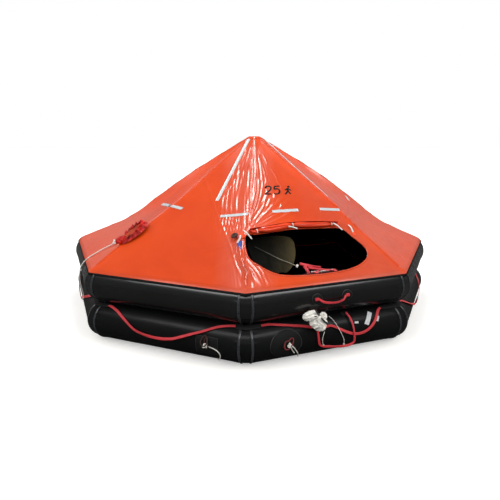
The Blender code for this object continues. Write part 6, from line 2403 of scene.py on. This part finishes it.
# ---------------------------------------------------------------- rear door
centre = np.mean(np.array(ENTRANCE), axis=0)
grown = [tuple(np.array(p) + unit(np.array(p) - centre) * .030) for p in ENTRANCE]
GROWN = resample(spline(grown, 8, closed=True), .010, closed=True)
us4 = np.linspace(0, 1, 60)
p4, _, _ = canopy_panel(4, us4, V_UP)
PANEL4 = surface_of(p4, grid_faces(60, len(V_UP)))
_, _, _, BZ4 = panel_frame(4)


def on_rear(s, h, lift):
    p = on_panel(4, s, h, .08)
    hit = PANEL4.ray_cast(Vector(p), Vector(-BZ4), .3)
    if hit[0] is None:
        return on_panel(4, s, h, lift - .010)
    return np.array(hit[0]) + BZ4 * lift


def door_place(s, h):
    w = .0016 * math.sin(s * 24 + 3 * h) * math.sin(h * 9) \
        + .0030 * float(lattice(np.array((s * 5, h * 5, 4.0)), 71)) \
        + .0012 * math.sin(h * 70 + 4 * s) * math.exp(-((s + .5) / .12) ** 2)
    return on_rear(s, h, .0078 + abs(w)), BZ4


M_DOOR = M_CANOPY
flap = scan_cloth("rear_door_flap", GROWN, door_place, .0026, M_DOOR,
                  replaces="rear_door", body="rear_door", nu=84, nv=84)
line = np.array([on_rear(s, h, .0082) for s, h in GROWN])
for _ in range(2):
    line = (np.roll(line, 1, 0) + 2 * line + np.roll(line, -1, 0)) / 4
v, f, uv = ribbon_mesh(line, np.tile(BZ4, (len(line), 1)), .026, .0052, across=5, closed=True,
                       crown=.2)
piece("rear_door_binding", v, f, M_BIND, uvs=uv, body="rear_door")
# a cross seam and two pull tabs
rowl = np.array([door_place(s, .43)[0] + BZ4 * .0020 for s in np.linspace(-.655, .575, 90)])
v, f, uv = ribbon_mesh(rowl, np.tile(BZ4, (len(rowl), 1)), .030, .0016, across=3)
piece("rear_door_seam", v, f, M_SEAM, uvs=uv, body="rear_door")
parts = []
for s in (-.34, .24):
    pts = np.array([door_place(s, .16)[0] + BZ4 * .003, door_place(s, .135)[0] + BZ4 * .010,
                    door_place(s, .150)[0] + BZ4 * .016, door_place(s, .20)[0] + BZ4 * .008,
                    door_place(s, .215)[0] + BZ4 * .003])
    l_ = resample(spline(pts, 8), .005)
    parts.append(ribbon_mesh(l_, np.tile(BZ4, (len(l_), 1)), .028, .0022, across=3))
v, f, uv, _ = join(parts)
piece("rear_door_pulls", v, f, M_BLACK_WEB, uvs=uv, body="rear_door")

# cloth hinge over its top edge
nh, ns = 22, 90
rows, uvr = [], []
for j in range(nh):
    h = .838 - (.838 - .728) * j / (nh - 1)
    for i in range(ns):
        s = -.470 + (.405 + .470) * i / (ns - 1)
        lift = .0022 + .0085 * smoothstep(.808, .782, h) \
            + .0018 * math.sin(i * .9) * math.sin(math.pi * j / (nh - 1)) ** 2 * .6
        rows.append(on_rear(s, h, lift))
        uvr.append((s, (h - .79)))
rows = np.array(rows)
v = np.vstack([rows + BZ4 * .0011, rows - BZ4 * .0011])
N = ns * nh
f = [tuple(qd) for qd in grid_faces(ns, nh, flip=True)] + [tuple(qd) for qd in grid_faces(ns, nh, offset=N)]
for i in range(ns - 1):
    f += [(i, i + 1, i + 1 + N, i + N), ((nh - 1) * ns + i, (nh - 1) * ns + i + N,
                                         (nh - 1) * ns + i + 1 + N, (nh - 1) * ns + i + 1)]
for j in range(nh - 1):
    a_, b_ = j * ns, (j + 1) * ns
    f += [(a_, a_ + N, b_ + N, b_), (a_ + ns - 1, b_ + ns - 1, b_ + ns - 1 + N, a_ + ns - 1 + N)]
hinge = piece("rear_door_hinge_cloth", v, f, M_SEAM, uvs=np.array(uvr + uvr),
              body=None)
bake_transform(hinge)

# --------------------------------------------------- what is cloth, and its cut
# The entrance's left edge is drawn past the front ridge by the door's tie: the cloth
# and its bindings there are moved to the left, where the photo has them.
PULLED = [o for o in bpy.data.objects if o.type == 'MESH' and (
    o.name in ("canopy_skin", "canopy_lining", "ridge_seam_0") or "entrance_binding" in o.name)]
for o in PULLED:
    co = np.array([tuple(v.co) for v in o.data.vertices])
    front = np.nonzero((co[:, 1] < -1.2) & (np.abs(co[:, 0]) < .5) & (co[:, 2] > .78))[0]
    if not len(front):
        continue
    px = project(co[front])
    x, y = px[:, 0], px[:, 1]
    w = smoothstep(227, 236, y) * smoothstep(273, 257, y) * smoothstep(230, 248, x) \
        * (1 - smoothstep(252, 286, x))
    for i_, w_ in zip(front, w):
        if w_ > 0:
            o.data.vertices[int(i_)].co.x -= .050 * float(w_)
    print("pulled", o.name, int((w > 0).sum()))

SHEETS = [
    (bpy.data.objects["canopy_skin"], (4.60, 4.60), "stretched", ["upper_tube_shell", "arch_tube_shell"], 14.4),
    (lining, (4.60, 4.60), "stretched", ["upper_tube_shell", "arch_tube_shell"], 14.2),
    (curtain, (0.50, 0.47), "hung", ["canopy_lining"], 0.175),
    (floor_obj, (3.50, 3.50), "stretched", ["lower_tube_shell"], 10.0),
    (flap, (1.26, 0.68), "hung", ["canopy_skin"], 0.72),
    (door_roll, (1.10, 0.30), "folded", ["canopy_skin"], None),
    (apron, (1.08, 0.085), "hung", ["canopy_skin"], None),
    (port_obj, (0.80, 0.10), "gathered", ["canopy_skin"], None),
]
for obj, flat, held, rests, a_ in SHEETS:
    print("sheet", obj.name, "mesh area", round(cloth_area(obj), 3), "flat", flat, a_)
for name, length in CORD_LENGTHS.items():
    print("cord", name, round(length, 3))
# ---------------------------------------------------------- studio and finish
# The camera sees plain white round the raft.  What lights it and what its rubber
# mirrors is an overcast sky, brightest overhead, over a darker ground.
world = bpy.data.worlds.new("studio")
bpy.context.scene.world = world
world.use_nodes = True
wn = world.node_tree
background = wn.nodes["Background"]
direction = node(wn, 'ShaderNodeTexCoord').outputs["Generated"]
axes = node(wn, 'ShaderNodeSeparateXYZ', None, i0=direction)
height = axes.outputs[2]
behind = node(wn, 'ShaderNodeMapRange', None, i0=axes.outputs[1], i1=0.25, i2=0.80).outputs[0]
sky = ramp(wn, height, [(0.0, (0.27, 0.27, 0.28)), (0.10, (0.41, 0.42, 0.44)),
                        (0.35, (0.39, 0.40, 0.42)), (0.80, (0.32, 0.33, 0.36))])
# brighter to the sides, which the camera sees only as the side panels' colour
aside = math_node(wn, 'ABSOLUTE', axes.outputs[0])
aside = node(wn, 'ShaderNodeMapRange', None, i0=aside, i1=0.25, i2=0.85).outputs[0]
sky = mix_colour(wn, aside, sky, (2.62, 2.54, 2.36))
rays = node(wn, 'ShaderNodeLightPath')
mirrored = ramp(wn, height, [(0.0, (0.06, 0.063, 0.066)), (0.08, (0.12, 0.123, 0.128)),
                             (0.40, (0.09, 0.093, 0.10)), (0.9, (0.09, 0.096, 0.11))])
hazy = ramp(wn, height, [(0.0, (0.10, 0.105, 0.11)), (0.10, (0.30, 0.30, 0.305)),
                         (0.40, (0.20, 0.205, 0.21)), (0.9, (0.09, 0.10, 0.11))])
mirrored = mix_colour(wn, behind, mirrored, hazy)
sky = mix_colour(wn, rays.outputs["Is Glossy Ray"], sky, mirrored)
wn.links.new(mix_colour(wn, rays.outputs["Is Camera Ray"], sky, (1.0, 1.0, 1.0)),
             background.inputs[0])
background.inputs[1].default_value = 1.0

floor_mesh = bpy.data.meshes.new("studio_floor")
R = 60.0
floor_mesh.from_pydata([(-R, -R, 0), (R, -R, 0), (R, R, 0), (-R, R, 0)], [], [(0, 1, 2, 3)])
studio_floor = bpy.data.objects.new("studio_floor", floor_mesh)
bpy.context.scene.collection.objects.link(studio_floor)
m_floor, fnt, fb = new_material("studio_floor_look")
fseen = node(fnt, 'ShaderNodeLightPath').outputs["Is Camera Ray"]
fnt.links.new(mix_colour(fnt, fseen, (0.07, 0.07, 0.07), (0.93, 0.93, 0.93)), fb.inputs["Base Color"])
fb.inputs["Roughness"].default_value = 0.9
fb.inputs["Specular IOR Level"].default_value = 0.0
fnt.links.new(mix_colour(fnt, fseen, (0.0, 0.0, 0.0), (1.0, 1.0, 1.0)), fb.inputs["Emission Color"])
fb.inputs["Emission Strength"].default_value = 0.35
floor_mesh.materials.append(m_floor)


def area(name, at, aim, size, power, colour=(1, 1, 1)):
    data = bpy.data.lights.new(name, 'AREA')
    data.shape = 'RECTANGLE'
    data.size, data.size_y = size
    data.energy = power
    data.color = colour
    obj = bpy.data.objects.new(name, data)
    obj.location = at
    d = Vector(aim) - Vector(at)
    obj.rotation_euler = d.to_track_quat('-Z', 'Y').to_euler()
    bpy.context.scene.collection.objects.link(obj)
    return obj


area("overhead", (0.0, 0.5, 7.6), (0.0, -0.5, 0.8), (1.8, 5.2), 236)
# lights that only gloss: the rubber and the wet-looking tent mirror them
for shine in (area("shine", (0.0, 0.7, 7.5), (0.0, -0.5, 0.8), (1.0, 4.4), 150),
              area("strip_left", (-3.9, -6.6, 6.7), (-0.2, -1.9, 0.7), (9.0, 2.2), 270),
              area("strip_right", (3.9, -6.6, 6.7), (0.2, -1.9, 0.7), (9.0, 2.2), 270)):
    shine.visible_diffuse = False
area("back_left", (-5.0, 6.0, 5.6), (-0.3, -0.6, 1.2), (2.4, 2.4), 30, (0.98, 0.99, 1.0))
area("back_right", (5.0, 6.0, 5.6), (0.3, -0.6, 1.2), (2.4, 2.4), 30, (0.98, 0.99, 1.0))
scene = bpy.context.scene
scene.view_settings.view_transform = 'Standard'
